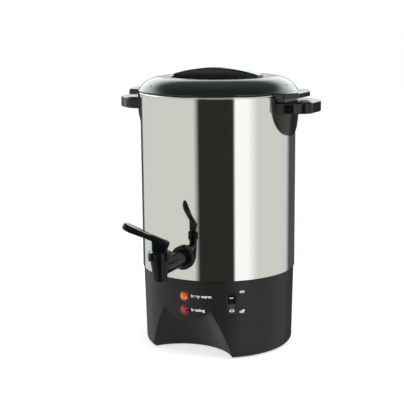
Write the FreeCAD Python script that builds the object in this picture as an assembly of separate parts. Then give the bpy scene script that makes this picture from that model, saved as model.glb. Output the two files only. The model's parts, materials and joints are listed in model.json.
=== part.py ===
import FreeCAD, Part
import math
import os

# A coffee urn: a steel tank on a plastic base, with a lever tap, two handles and a lid that turns.
# Millimetres and degrees. +Z is up and the origin is on the table, under the middle of the tank.
# The tap points to -Y and the handles to +X and -X. Azimuth 0 is the tap's side, 90 is +X.

V = FreeCAD.Vector
Z = V(0, 0, 1)
ORIGIN = V(0, 0, 0)

# Steel tank
tank_radius = 102.0
tank_wall = 0.8
joint_height = 105.0        # lower edge of the steel, above the table
tank_height = 230.1         # from that edge up to the middle of the rolled rim
rim_bead = 1.5              # radius of the rolled rim
skirt_bead = 0.25            # how far the bead at the steel's lower edge stands out
skirt_bead_height = 8.0
tank_floor_rise = 2.5       # tank floor above the steel's lower edge
well_radius = 26.0          # outside of the heating well
well_depth = 16.0

# Base
base_gap = 0.3              # between the base's neck and the steel
base_draft = 2.5            # how much narrower the base is at its foot
base_wall = 3.0
base_edge = 5.0             # radius of the base's lower edge
foot_height = 1.5
foot_radius = 6.0
foot_inset = 14.4           # middle of each foot, in from the base's side
foot_azimuth = 42.0
peg_radius = 2.4
peg_gap = 0.1
cover_margin = 2.0          # between the bottom cover and the feet
cover_thickness = 1.5
cover_gap = 0.3
ledge_width = 6.0
post_radius = 4.0
post_height = 12.0
cover_screw_azimuths = (62.0, 135.0)

# Cup bay: a leaning round hollow in the front of the base, under a round tongue
bay_radius = 68.5
bay_offset = 17.5           # middle of the hollow, out from the base's side at the table
bay_lean = 0.6              # outward shift for each millimetre of height
bay_round = 1.5             # rounding of the edges of hollow and tongue
tongue_radius = 43.6
tongue_drop = 11.5          # middle of the tongue, below the steel's lower edge

# Controls on the base, their heights measured down from the steel's lower edge
lamp_radius = 5.6
lamp_gap = 0.1
lamp_dome = 1.8
lamp_body_radius = 6.5
lamp_body_depth = 9.0
amber_drop = 21.8
lamp_pitch = 18.4
switch_azimuth = 35.0
switch_drop = 31.3
bezel_width = 14.0
bezel_margin = 0.9          # bezel beyond the tub, above and below
bezel_thickness = 1.4
tub_depth = 13.0
tub_wall = 0.9
rocker_width = 9.2
rocker_height = 25.0
rocker_gap = 0.3
rocker_throw = 20.0         # from one end of its travel to the other
rocker_pivot_depth = 2.5
rocker_dish = 1.3           # depth of the V in the rocker's face
rocker_back = 3.5
trunnion_radius = 1.2
running_gap = 0.05
tag_length = 6.0
tag_thickness = 0.8

# Appliance inlet at the back of the base
inlet_height = 40.0
inlet_width = 26.0
inlet_tall = 19.0
inlet_depth = 18.0
inlet_wall = 2.0
inlet_flange = 3.0
inlet_flange_thickness = 1.8
inlet_sink = 2.8            # flat behind the flange, in from the base's side
inlet_gap = 0.2
pad_thickness = 4.5
pin_length = 9.0
pin_width = 4.0
pin_thickness = 2.0
pin_pitch = 7.0
pin_shift = 1.5             # how far the middle pin stands above and the others below the middle

# Heater and its controls, under the tank floor
element_section = 4.0
warmer_width = 14.0
warmer_thickness = 2.0
warmer_space = 4.0          # between the element and the keep-warm ring
thermostat_radius = 9.5
thermostat_height = 8.0
thermostat_space = 0.8
fuse_radius = 3.0
fuse_length = 18.0
standoff_radius = 4.6
screw_radius = 1.9
cover_screw_radius = 1.4
bolt_head = 1.4
thread_depth = 12.0

# Tap
tap_rise = 26.7             # axis of the tap's tube, above the tank floor
tap_reach = 61.0            # from the steel wall to the valve's axis
shank_radius = 8.0
shank_gap = 0.2
tube_radius = 10.0
tap_bore = 4.5
tap_flange_radius = 15.4
tap_flange_thickness = 4.0
gasket_thickness = 2.0
nut_radius = 14.0
nut_thickness = 7.0
shank_tail = 3.0
spout_drop = 15.2           # spout's end below the tube's axis
spout_radius = 8.1
valve_radius = 11.8         # at the top of the valve housing, which tapers down to the spout
valve_rise = 10.5            # top of the valve housing above the tube's axis
chamber_radius = 7.0
seat_drop = 6.7             # valve seat below the tube's axis
seat_bore = 4.0
bonnet_radius = 14.4        # over its lugs
bonnet_core = 11.4          # between its lugs
bonnet_height = 10.3
bonnet_edge = 1.8
bonnet_lugs = 6
lug_width = 7.6
lug_azimuth = 20.0
plug_depth = 3.0
stem_radius = 2.5
washer_radius = 9.2
washer_thickness = 1.3
cup_radius = 6.2
cup_height = 8.0
cup_gap = 0.2
cup_floor = 2.0
lever_azimuth = -62.1
lever_slope = 23.3
lever_tip = 44.4
lever_heel = 11.6
lever_width = 15.0
lever_tip_width = 19.0
lever_thickness = 7.6
lever_rise = 10.4           # lever's middle line above the cam washer, over the valve's axis
neck_length = 19.4
neck_width = 14.0
pin_radius = 1.5
pin_rise = 3.6              # lever pin above the cam washer
pin_cover = 1.5             # wall of the neck beyond each end of the pin
pin_end_gap = 0.1
cam_gap = 0.3
slot_length = 12.0
slot_gap = 1.6

# Handles, their heights measured down from the middle of the rolled rim
shield_width = 41.0         # half of the shield's width at its top
shield_top_drop = 2.0
shield_drop = 51.0
shield_power = 2.35         # how square the shield's outline is
shield_thickness = 3.8
shield_taper = 2.4
shield_taper_height = 30.0
shield_taper_start = 5.0    # below the shield's foot
shield_gap = 0.05
grip_drop = 7.6
grip_thickness = 15.0
grip_length = 36.0          # tip of the grip from the steel wall
grip_straight = 14.0
grip_root = 38.5            # half of the grip's width at the wall
grip_tip = 27.0
grip_corner = 13.0
grip_edge = 2.5
pocket_depth = 8.0
pocket_wall = 4.0
handle_screw_drop = 5.5     # below the top of the grip
handle_screw_side = 15.0
handle_screw_radius = 2.0
handle_screw_head = 4.2
screw_head_depth = 2.4
handle_screw_reach = 7.0
handle_screw_depth = 8.0    # bore in the handle

# Pump, basket and its lid
pump_radius = 5.0
pump_wall = 0.8
pump_drop = 2.6             # top of the riser below the middle of the rim
pump_foot_radius = 22.0
pump_foot_height = 9.0
pump_gap = 0.3
collar_width = 4.0
collar_height = 3.0
basket_space = 26.2         # between the basket and the tank's wall
basket_drop = 11.6          # top of the basket below the middle of the rim
basket_height = 65.0
basket_wall = 0.8
basket_lip = 2.0
hub_wall = 0.8
hub_height = 45.0
spreader_thickness = 1.2
spreader_rim = 4.0
hole_radius = 1.5
hole_rings = 6
hole_step = 8               # more holes in each ring than in the one inside it
hole_start = 8.0            # innermost ring, out from the riser
hole_margin = 7.0           # outermost ring, in from the basket's side

# Lid
lid_overhang = 2.5          # lid's rim beyond the steel wall
lid_wall = 2.5
lid_gap = 0.4               # between the lid's rim and the rolled rim
lid_edge = 1.5              # upright edge of the lid's rim
dome_rise = 18.5            # flat crest above the lid's lower edge
dome_bulge = 3.5            # how far the dome's arc stands out from its chord
crest_radius = 78.0
recess_radius = 62.0
recess_slope = 5.0
recess_depth = 14.0
recess_edge = 2.0
vent_radius = 1.3
vent_inset = 6.5
vent_azimuths = (-33.9, 88.3)
skirt_drop = 6.5            # plug skirt below the lid's lower edge
seal_gap = 0.3
seal_side_gap = 0.6
seal_thickness = 4.8
seal_rest_gap = 0.1
seal_flange = 1.0
seal_chamfer = 2.0
ear_thickness = 6.9
ear_bridge = 3.6
ear_clear = 5.2             # thick part of the ear, out from the steel wall
ear_length = 19.5
ear_shoulder = 4.0
ear_root = 40.5
ear_tip = 20.0
ear_corner = 7.0
ear_edge = 1.8
lug_thickness = 3.5
lug_gap = 0.5               # between the lug and the grip

# Lid grip, a raised web across the recess
bar_width = 18.0
bar_rise = 11.2             # top of the bar above the lid's crest
bar_end_rise = 1.6
bar_gap = 0.4
bar_edge = 2.2
bar_screw_inset = 5.6
bar_screw_radius = 1.5
bar_screw_head = 3.0
bar_screw_length = 8.0

# Worked out from the sizes above
inner_radius = tank_radius - tank_wall
floor_height = joint_height + tank_floor_rise
rim_height = joint_height + tank_height
well_low = floor_height - well_depth
neck_radius = inner_radius - base_gap
base_height = floor_height - foot_height
base_foot_radius = neck_radius - base_draft
base_slope = math.degrees(math.atan2(base_draft, base_height))
plate_top = foot_height + base_wall
foot_circle = base_foot_radius - foot_inset
cover_radius = foot_circle - foot_radius - cover_margin
bay_centre = base_foot_radius + bay_offset
bay_wall = base_wall * math.hypot(1, bay_lean)
tongue_height = joint_height - tongue_drop
amber_height = joint_height - amber_drop
red_height = amber_height - lamp_pitch
switch_height = joint_height - switch_drop
inlet_flat = base_foot_radius + base_draft * (inlet_height - foot_height) / base_height - inlet_sink
warmer_radius = well_radius + 2 * element_section + warmer_space
tap_height = floor_height + tap_rise
valve_y = -(tank_radius + tap_reach)
valve_top = tap_height + valve_rise
spout_low = tap_height - spout_drop
seat_height = tap_height - seat_drop
bonnet_top = valve_top + bonnet_height
washer_top = bonnet_top + running_gap + washer_thickness
pin_height = washer_top + pin_rise
shield_top = rim_height - shield_top_drop
grip_top = rim_height - grip_drop
grip_reach = tank_radius + grip_length
handle_screw_height = grip_top - handle_screw_drop
pump_low = well_low + tank_wall + pump_gap
pump_top = rim_height - pump_drop
basket_radius = inner_radius - basket_space
basket_low = rim_height - basket_drop - basket_height
lid_radius = tank_radius + lid_overhang
lid_low = rim_height + rim_bead + lid_gap
lid_shoulder = lid_low + lid_edge
crest_height = lid_low + dome_rise
seal_radius = inner_radius - seal_side_gap
skirt_radius = seal_radius - seal_thickness - seal_gap
skirt_low = lid_low - skirt_drop
ear_bridge_radius = tank_radius + ear_clear
recess_floor = crest_height - recess_depth
recess_floor_radius = recess_radius - recess_slope
bar_screw_circle = recess_floor_radius - bar_screw_inset


os.makedirs("parts", exist_ok=True)


def save(name, shape):
    """Write one node. A group of like pieces is a compound of its solids."""
    assert shape.isValid() and shape.Volume > 0, name
    shape.exportStep("parts/" + name + ".step")
    print(name, len(shape.Solids), round(shape.Volume, 1))


def group(pieces):
    """Separate solids kept together in one node."""
    return Part.makeCompound(pieces)


def spin(points):
    """Solid of revolution about Z from an outline of (radius, height) points and 3-point arcs."""
    edges = []
    start = points[0]
    for item in list(points[1:]) + [points[0]]:
        if len(item) == 4:
            middle, end = item[:2], item[2:]
            arc = Part.Arc(V(start[0], 0, start[1]), V(middle[0], 0, middle[1]), V(end[0], 0, end[1]))
            edges.append(arc.toShape())
        else:
            end = item
            edges.append(Part.makeLine(V(start[0], 0, start[1]), V(end[0], 0, end[1])))
        start = end
    return Part.Face(Part.Wire(edges)).revolve(ORIGIN, Z, 360)


def rod(radius, low, high, x=0.0, y=0.0):
    """Upright round bar."""
    return Part.makeCylinder(radius, high - low, V(x, y, low))


def tube(outer, inner, low, high):
    """Upright round tube on the tank's axis."""
    return rod(outer, low, high).cut(rod(inner, low - 1, high + 1))


def bar(x0, x1, y0, y1, z0, z1):
    """Box between two corners."""
    return Part.makeBox(x1 - x0, y1 - y0, z1 - z0, V(x0, y0, z0))


def polar(radius, azimuth):
    """X and Y of a point at an azimuth from the tap's side."""
    a = math.radians(azimuth)
    return radius * math.sin(a), -radius * math.cos(a)


def turned(shape, angle, centre=ORIGIN, axis=Z):
    """Copy turned about an axis."""
    copy = shape.copy()
    copy.rotate(centre, axis, angle)
    return copy


def moved(shape, x, y, z):
    """Copy shifted."""
    copy = shape.copy()
    copy.translate(V(x, y, z))
    return copy


def prism(points, thickness, low):
    """Upright prism on a plan of (x, y) points."""
    wire = Part.makePolygon([V(x, y, low) for x, y in points + points[:1]])
    return Part.Face(wire).extrude(V(0, 0, thickness))


def round_upright(shape, radius, test):
    """Round the upright edges that pass a test on their middle point."""
    edges = []
    for edge in shape.Edges:
        middle = edge.valueAt((edge.FirstParameter + edge.LastParameter) / 2)
        ends = [v.Point for v in edge.Vertexes]
        upright = len(ends) == 2 and abs(ends[0].x - ends[1].x) + abs(ends[0].y - ends[1].y) < 1e-6
        if upright and test(middle):
            edges.append(edge)
    return shape.makeFillet(radius, edges)


def on_base(shape, azimuth, height):
    """Place a piece drawn at the origin on the base's wall, with -Y out of the wall and Z up it."""
    radius = base_foot_radius + base_draft * (height - foot_height) / base_height
    tilt = FreeCAD.Placement(V(0, -radius, height), FreeCAD.Rotation(V(1, 0, 0), base_slope))
    swing = FreeCAD.Placement(ORIGIN, FreeCAD.Rotation(Z, azimuth))
    copy = shape.copy()
    copy.Placement = swing.multiply(tilt).multiply(copy.Placement)
    return copy


# Tank

def tank_shell():
    """Steel wall with a bead at its lower edge and a rolled rim, with holes for tap and handles."""
    out = tank_radius
    bulge = out + skirt_bead
    z0, z1 = joint_height, joint_height + skirt_bead_height
    wall = spin([
        (inner_radius, z0), (out, z0), (bulge, (z0 + z1) / 2, out, z1),
        (out, rim_height), (inner_radius, rim_height),
    ])
    bead = Part.makeTorus(tank_radius + rim_bead * 0.3, rim_bead, V(0, 0, rim_height))
    shell = wall.fuse(bead).removeSplitter()
    tap_hole = Part.makeCylinder(shank_radius + shank_gap, tank_radius, V(0, 0, tap_height), V(0, -1, 0))
    cuts = [tap_hole]
    for x, y in handle_screw_places():
        cuts.append(Part.makeCylinder(handle_screw_radius + lamp_gap, tank_radius,
                                      V(0, y, handle_screw_height), V(x, 0, 0)))
    return shell.cut(cuts)


def tank_bottom():
    """Steel floor with the well that the pump stands in."""
    t = tank_wall
    z = floor_height
    return spin([
        (0, well_low), (well_radius, well_low), (well_radius, z), (inner_radius, z), (inner_radius, z + t),
        (well_radius - t, z + t), (well_radius - t, well_low + t), (0, well_low + t),
    ])


def heating_element():
    """Ring clamped in the corner between the well and the tank floor."""
    middle = well_radius + element_section
    return Part.makeTorus(middle, element_section, V(0, 0, floor_height - element_section))


def keep_warm_heater():
    """Flat ring against the tank floor."""
    return tube(warmer_radius + warmer_width, warmer_radius, floor_height - warmer_thickness, floor_height)


def thermostat():
    """Round snap thermostat against the tank floor, with two tags."""
    y = warmer_radius + warmer_width + thermostat_radius + thermostat_space
    low = floor_height - thermostat_height
    body = rod(thermostat_radius, low, floor_height, 0, y)
    half = tag_thickness / 2
    tags = [bar(x - half, x + half, y - 2.5, y + 2.5, low - tag_length, low)
            for x in (-thermostat_radius / 2, thermostat_radius / 2)]
    return body.fuse(tags)


def thermal_fuse():
    """Small tube clipped under the keep-warm ring, with its two leads."""
    x = -(warmer_radius + warmer_width / 2)
    z = floor_height - warmer_thickness - fuse_radius
    body = Part.makeCylinder(fuse_radius, fuse_length, V(x, -fuse_length / 2, z), V(0, 1, 0))
    lead = Part.makeCylinder(fuse_radius / 4, 2 * fuse_length, V(x, -fuse_length, z), V(0, 1, 0))
    return body.fuse(lead)


# Base

def bay(grow):
    """Space of the cup bay, grown on every side by the given amount."""
    circle = Part.Circle(V(0, -bay_centre, 0), Z, bay_radius + grow).toShape()
    column = Part.Face(Part.Wire(circle)).extrude(V(0, -bay_lean * joint_height, joint_height))
    tongue = Part.makeCylinder(tongue_radius - grow / math.hypot(1, bay_lean), 2 * tank_radius,
                               V(0, 0, tongue_height), V(0, -1, 0))
    return column.cut(tongue)


def round_bay(shape):
    """Round the edges where the bay and its tongue meet the outside of the base."""
    def on_bay(p):
        return abs(math.hypot(p.x, p.y + bay_centre + bay_lean * p.z) - bay_radius) < 0.01

    def on_tongue(p):
        return abs(math.hypot(p.x, p.z - tongue_height) - tongue_radius) < 0.01

    def on_cone(p):
        side = base_foot_radius + base_draft * (p.z - foot_height) / base_height
        return abs(math.hypot(p.x, p.y) - side) < 0.01

    edges = []
    for edge in shape.Edges:
        middle = edge.valueAt((edge.FirstParameter + edge.LastParameter) / 2)
        if on_cone(middle) and (on_bay(middle) or on_tongue(middle)):
            edges.append(edge)
    return shape.makeFillet(bay_round, edges)


def base_cone(inset, low):
    """Round body of the base, inset from its outside, from a height up to the neck's top."""
    rise = low - foot_height
    radius = base_foot_radius + base_draft * rise / base_height - inset
    return Part.makeCone(radius, neck_radius - inset, floor_height - low, V(0, 0, low))


def base_block(inset, low):
    """The same body with its lower edge rounded."""
    block = base_cone(inset, low)
    corner = [e for e in block.Edges if e.Closed and abs(e.CenterOfMass.z - low) < 1e-6]
    return block.makeFillet(base_edge - inset, corner)


def screw_places():
    """Middle of each cover screw."""
    circle = cover_radius - ledge_width / 2
    return [polar(circle, s * a) for a in cover_screw_azimuths for s in (1, -1)]


def foot_places():
    """Middle of each rubber foot."""
    return [polar(foot_circle, s * a) for a in (foot_azimuth, 180 - foot_azimuth) for s in (1, -1)]


def base_shell():
    """Moulded base with the cup bay, its bottom flange, screw posts and openings for the controls."""
    shell = round_bay(base_cone(0, foot_height).cut(bay(0))).common(base_block(0, foot_height))
    hollow = base_block(base_wall, plate_top).cut(bay(bay_wall))
    flat = inlet_flat - pad_thickness
    half = inlet_width / 2 + 2 * inlet_flange
    tall = inlet_tall / 2 + 2 * inlet_flange
    pad = bar(-half, half, flat, tank_radius, inlet_height - tall, inlet_height + tall)
    hollow = hollow.cut(pad)
    shell = shell.cut(hollow)
    opening = rod(cover_radius - ledge_width, foot_height - 1, plate_top + 1)
    ledge = rod(cover_radius + cover_gap, foot_height - 1, foot_height + cover_thickness)
    shell = shell.cut(opening.cut(bay(bay_wall + ledge_width)))
    shell = shell.cut(ledge.cut(bay(bay_wall)))
    posts = []
    pilots = []
    for x, y in screw_places():
        posts.append(rod(post_radius, plate_top, plate_top + post_height, x, y))
        pilots.append(rod(cover_screw_radius, foot_height, plate_top + post_height - 1, x, y))
    shell = shell.fuse(posts).cut(pilots)
    shell = shell.cut([rod(peg_radius + peg_gap, 0, plate_top + 1, x, y) for x, y in foot_places()])
    cuts = []
    for height in (amber_height, red_height):
        hole = Part.makeCylinder(lamp_radius + lamp_gap, 4 * base_wall, V(0, -base_wall, 0), V(0, 1, 0))
        cuts.append(on_base(hole, 0, height))
    width = tub_width() / 2 + lamp_gap
    height = tub_height() / 2 + lamp_gap
    cuts.append(on_base(bar(-width, width, -base_wall, 3 * base_wall, -height, height),
                        switch_azimuth, switch_height))
    seat = bar(-inlet_width / 2 - inlet_flange - inlet_gap, inlet_width / 2 + inlet_flange + inlet_gap,
               inlet_flat, tank_radius,
               inlet_height - inlet_tall / 2 - inlet_flange - inlet_gap,
               inlet_height + inlet_tall / 2 + inlet_flange + inlet_gap)
    window = bar(-inlet_width / 2 - inlet_gap, inlet_width / 2 + inlet_gap, flat - 1, tank_radius,
                 inlet_height - inlet_tall / 2 - inlet_gap, inlet_height + inlet_tall / 2 + inlet_gap)
    return shell.cut(cuts + [seat, window])


def bottom_cover():
    """Steel plate that closes the base from below, held by four screws and the middle screw."""
    plate = rod(cover_radius, foot_height, foot_height + cover_thickness)
    plate = plate.cut(bay(bay_wall + cover_gap))
    holes = [rod(cover_screw_radius + lamp_gap, 0, plate_top, x, y) for x, y in screw_places()]
    return plate.cut(holes + [rod(screw_radius + lamp_gap, 0, plate_top)])


def rubber_feet():
    """Round feet with a peg through the base's flange."""
    feet = []
    for x, y in foot_places():
        pad = rod(foot_radius, 0, foot_height, x, y)
        feet.append(pad.fuse(rod(peg_radius, 0, plate_top + 1, x, y)))
    return group(feet)


def cover_screws():
    """Pan-head screws from below into the posts."""
    low = foot_height - bolt_head
    return group([
        rod(2 * cover_screw_radius, low, foot_height, x, y).fuse(
            rod(cover_screw_radius, low, plate_top + post_height - 3, x, y))
        for x, y in screw_places()
    ])


def centre_standoff():
    """Hexagonal bar between the well and the bottom cover."""
    low = foot_height + cover_thickness
    points = [polar(standoff_radius, 60 * i) for i in range(6)]
    return prism(points, well_low - low, low).cut(rod(screw_radius, low - 1, low + thread_depth + 2))


def centre_screw():
    """Screw that draws the cover up to the standoff."""
    low = foot_height - bolt_head
    head = rod(2.4 * screw_radius, low, foot_height)
    return head.fuse(rod(screw_radius, low, foot_height + cover_thickness + thread_depth))


# Lamps, switch and inlet

def lamp_lens(height):
    """Clear button through the wall, domed outside."""
    body = Part.makeCylinder(lamp_radius, base_wall + bezel_thickness, V(0, -bezel_thickness, 0), V(0, 1, 0))
    r = (lamp_radius ** 2 + lamp_dome ** 2) / (2 * lamp_dome)
    ball = Part.makeSphere(r, V(0, -bezel_thickness - lamp_dome + r, 0))
    cap = Part.makeCylinder(lamp_radius, lamp_dome, V(0, -bezel_thickness, 0), V(0, -1, 0)).common(ball)
    return on_base(body.fuse(cap).removeSplitter(), 0, height)


def lamp_bodies():
    """Holders behind the two lenses, with their tags."""
    pieces = []
    for height in (amber_height, red_height):
        body = Part.makeCylinder(lamp_body_radius, lamp_body_depth, V(0, base_wall + lamp_gap, 0), V(0, 1, 0))
        low = base_wall + lamp_gap + lamp_body_depth
        half = tag_thickness / 2
        tags = [bar(x - half, x + half, low, low + tag_length, -1.5, 1.5)
                for x in (-lamp_body_radius / 2, lamp_body_radius / 2)]
        pieces.append(on_base(body.fuse(tags), 0, height))
    return group(pieces)


def tub_width():
    """Outside width of the switch's tub."""
    return rocker_width + 2 * rocker_gap + 2 * tub_wall


def tub_height():
    """Outside height of the switch's tub, which clears the rocker's ends as they swing."""
    half = math.hypot(rocker_height / 2, rocker_pivot_depth + bezel_thickness)
    return 2 * (half + rocker_gap + tub_wall)


def switch_frame():
    """Frame with a flat bezel outside the wall and a tub behind it."""
    w = tub_width() / 2
    h = tub_height() / 2
    tall = h + bezel_margin
    bezel = bar(-bezel_width / 2, bezel_width / 2, -bezel_thickness, 0, -tall, tall)
    bezel = bezel.makeChamfer(0.5, [e for e in bezel.Edges if abs(e.CenterOfMass.y + bezel_thickness) < 1e-6])
    frame = bezel.fuse(bar(-w, w, 0, tub_depth, -h, h))
    hollow = bar(-w + tub_wall, w - tub_wall, -5, tub_depth - tub_wall, -h + tub_wall, h - tub_wall)
    bore = Part.makeCylinder(trunnion_radius + running_gap, 2 * w - tub_wall,
                             V(-w + tub_wall / 2, rocker_pivot_depth, 0), V(1, 0, 0))
    half = tag_thickness / 2
    tags = [bar(-2, 2, tub_depth, tub_depth + tag_length, z - half, z + half) for z in (-h / 2, 0, h / 2)]
    return on_base(frame.cut([hollow, bore]).fuse(tags), switch_azimuth, switch_height)


def switch_rocker():
    """Rocker with a shallow V face, on two trunnions, at rest with its top pressed in."""
    h = rocker_height / 2
    face = -bezel_thickness
    back = rocker_pivot_depth + rocker_back
    outline = [(face, h), (face + rocker_dish, 0), (face, -h), (0.5, -h), (back, -h * 0.6), (back, h * 0.6),
               (0.5, h)]
    wire = Part.makePolygon([V(-rocker_width / 2, y, z) for y, z in outline + outline[:1]])
    body = Part.Face(wire).extrude(V(rocker_width, 0, 0))
    reach = tub_width() / 2 - tub_wall * 0.6
    pins = Part.makeCylinder(trunnion_radius, 2 * reach, V(-reach, rocker_pivot_depth, 0), V(1, 0, 0))
    body = turned(body.fuse(pins), -rocker_throw / 2, V(0, rocker_pivot_depth, 0), V(1, 0, 0))
    return on_base(body, switch_azimuth, switch_height)


def power_inlet():
    """Socket for an appliance lead, open to the back."""
    w, h = inlet_width / 2, inlet_tall / 2
    z = inlet_height
    out = inlet_flat + inlet_flange_thickness
    body = bar(-w, w, inlet_flat - inlet_depth, out, z - h, z + h)
    lip = inlet_flange
    flange = bar(-w - lip, w + lip, inlet_flat, out, z - h - lip, z + h + lip)
    hollow = bar(-w + inlet_wall, w - inlet_wall, inlet_flat - inlet_depth + inlet_wall, out + 1,
                 z - h + inlet_wall, z + h - inlet_wall)
    return body.fuse(flange).removeSplitter().cut([hollow] + pin_bars())


def pin_bars():
    """The three flat pins, which pass through the socket's end wall to tags behind it."""
    back = inlet_flat - inlet_depth
    wide, tall = pin_thickness / 2, pin_width / 2
    places = [(-pin_pitch, inlet_height - pin_shift), (0, inlet_height + pin_shift),
              (pin_pitch, inlet_height - pin_shift)]
    return [bar(x - wide, x + wide, back - tag_length, back + inlet_wall + pin_length, z - tall, z + tall)
            for x, z in places]


def inlet_pins():
    """Pins of the inlet."""
    return group(pin_bars())


# Tap

def tap_body():
    """Shank, flange, tube and valve housing with the spout below, in one moulding."""
    inside = -(inner_radius - gasket_thickness - nut_thickness - shank_tail)
    wall = -tank_radius - gasket_thickness
    shank = Part.makeCylinder(shank_radius, abs(wall - inside), V(0, inside, tap_height), V(0, -1, 0))
    flange = Part.makeCylinder(tap_flange_radius, tap_flange_thickness, V(0, wall, tap_height), V(0, -1, 0))
    rim = [e for e in flange.Edges if e.Closed and e.CenterOfMass.y < wall - 1]
    flange = flange.makeFillet(tap_flange_thickness / 2.5, rim)
    pipe = Part.makeCylinder(tube_radius, abs(valve_y - wall), V(0, wall, tap_height), V(0, -1, 0))
    body = moved(spin([(0, spout_low), (spout_radius, spout_low), (valve_radius, valve_top), (0, valve_top)]),
                 0, valve_y, 0)
    solid = shank.fuse([flange, pipe, body])
    cuts = [
        rod(chamber_radius, seat_height, valve_top + 1, 0, valve_y),
        rod(seat_bore, spout_low - 1, seat_height + 1, 0, valve_y),
        Part.makeCylinder(tap_bore, abs(valve_y - inside) + 1, V(0, inside + 1, tap_height), V(0, -1, 0)),
    ]
    return solid.cut(cuts)


def saddle(radius, near, far):
    """Ring about the shank between two distances from the tank's axis, along the tap's tube."""
    ring = Part.makeCylinder(radius, far - near, V(0, -near, tap_height), V(0, -1, 0))
    return ring.cut(Part.makeCylinder(shank_radius, 2 * tank_radius, V(0, 0, tap_height), V(0, -1, 0)))


def tap_gasket():
    """Soft washer that fits the flange to the round wall."""
    return saddle(tap_flange_radius - 0.6, tank_radius - 4, tank_radius + gasket_thickness).cut(
        rod(tank_radius, joint_height, rim_height))


def tap_inner_gasket():
    """Soft washer inside the tank."""
    return saddle(nut_radius - 1, inner_radius - gasket_thickness, inner_radius).common(
        rod(inner_radius, joint_height, rim_height))


def tap_nut():
    """Hexagonal nut that draws the tap to the wall."""
    near = inner_radius - gasket_thickness
    points = [V(nut_radius * math.sin(math.radians(60 * i)), 0, nut_radius * math.cos(math.radians(60 * i)))
              for i in range(7)]
    nut = moved(Part.Face(Part.makePolygon(points)).extrude(V(0, nut_thickness, 0)), 0, -near, tap_height)
    return nut.cut(Part.makeCylinder(shank_radius, 2 * tank_radius, V(0, 0, tap_height), V(0, -1, 0)))


def tap_bonnet():
    """Collar with lugs for the fingers, screwed on the valve housing, which guides the stem."""
    collar = rod(bonnet_radius, valve_top, bonnet_top)
    edge = [e for e in collar.Edges if e.Closed and abs(e.CenterOfMass.z - bonnet_top) < 1e-6]
    collar = collar.makeFillet(bonnet_edge, edge)
    half = lug_width / 2
    beam = bar(-half, half, -2 * bonnet_radius, 2 * bonnet_radius, valve_top, bonnet_top)
    lugs = [turned(beam, lug_azimuth + 360.0 * i / bonnet_lugs) for i in range(bonnet_lugs // 2)]
    collar = moved(collar.common(rod(bonnet_core, valve_top, bonnet_top).fuse(lugs)), 0, valve_y, 0)
    plug = rod(chamber_radius - lamp_gap, valve_top - plug_depth, valve_top + 1, 0, valve_y)
    return collar.fuse(plug).cut(rod(stem_radius + running_gap, seat_height, bonnet_top + 1, 0, valve_y))


def cam_washer():
    """Washer on the bonnet that the lever bears on, which turns with the lever."""
    low = bonnet_top + running_gap
    ring = rod(washer_radius, low, washer_top, 0, valve_y)
    return ring.cut(rod(stem_radius + running_gap, low - 1, washer_top + 1, 0, valve_y))


def valve_stem():
    """Rod from the seat cup up to the lever's pin."""
    stem = rod(stem_radius, seat_height + cup_gap + cup_floor, pin_height + stem_radius, 0, valve_y)
    return stem.cut(lever_turn(lever_pin_bar(pin_radius)))


def seat_cup():
    """Soft cup that closes the spout's seat."""
    low = seat_height + cup_gap
    cup = rod(cup_radius, low, low + cup_height, 0, valve_y)
    edge = [e for e in cup.Edges if e.Closed]
    return cup.makeFillet(0.8, edge).cut(rod(stem_radius, low + cup_floor, low + cup_height + 1, 0, valve_y))


def lever_pin_bar(radius, end_gap=0.0):
    """Cross pin at the origin of the lever's own frame, which has X along the lever."""
    length = neck_width - 2 * pin_cover + 2 * end_gap
    return Part.makeCylinder(radius, length, V(0, -length / 2, pin_height), V(0, 1, 0))


def lever_turn(shape):
    """From the lever's own frame to its place over the valve."""
    return moved(turned(shape, lever_azimuth - 90), 0, valve_y, 0)


def tap_lever():
    """Rounded paddle on a slotted neck. The neck's flat underside rides on the cam washer."""
    half = lever_thickness / 2
    plan = [(-lever_heel, -lever_width / 2), (lever_tip * 0.35, -lever_width / 2),
            (lever_tip, -lever_tip_width / 2), (lever_tip, lever_tip_width / 2),
            (lever_tip * 0.35, lever_width / 2), (-lever_heel, lever_width / 2)]
    stretch = math.cos(math.radians(lever_slope))
    paddle = prism([(x / stretch, y) for x, y in plan], lever_thickness, -half)
    flare = math.atan2((lever_tip_width - lever_width) / 2, lever_tip * 0.65 / stretch)
    tip_round = 0.97 * lever_tip_width / 2 * math.tan(math.pi / 4 - abs(flare) / 2)
    paddle = round_upright(paddle, tip_round, lambda p: p.x > lever_tip * 0.9)
    paddle = round_upright(paddle, lever_width / 3, lambda p: p.x < 0)
    skin = [e for e in paddle.Edges if abs(abs(e.CenterOfMass.z) - half) < 1e-6]
    paddle = paddle.makeFillet(half * 0.6, skin)
    paddle = turned(paddle, -lever_slope, ORIGIN, V(0, 1, 0))
    paddle = moved(paddle, 0, 0, washer_top + lever_rise)
    low = washer_top + cam_gap
    neck = bar(-neck_length / 2, neck_length / 2, -neck_width / 2, neck_width / 2, low, washer_top + lever_rise)
    neck = round_upright(neck, 2.5, lambda p: True)
    slot_half = stem_radius + running_gap
    slot = bar(-slot_length / 2, slot_length / 2, -slot_half, slot_half, low - 1,
               pin_height + stem_radius + slot_gap)
    lever = paddle.fuse(neck).cut([slot, lever_pin_bar(pin_radius + running_gap, pin_end_gap)])
    return lever_turn(lever.removeSplitter())


# Handles

def handle_screw_places():
    """Point on the wall for each handle screw."""
    return [(sx * tank_radius, sy * handle_screw_side) for sx in (1, -1) for sy in (1, -1)]


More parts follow.
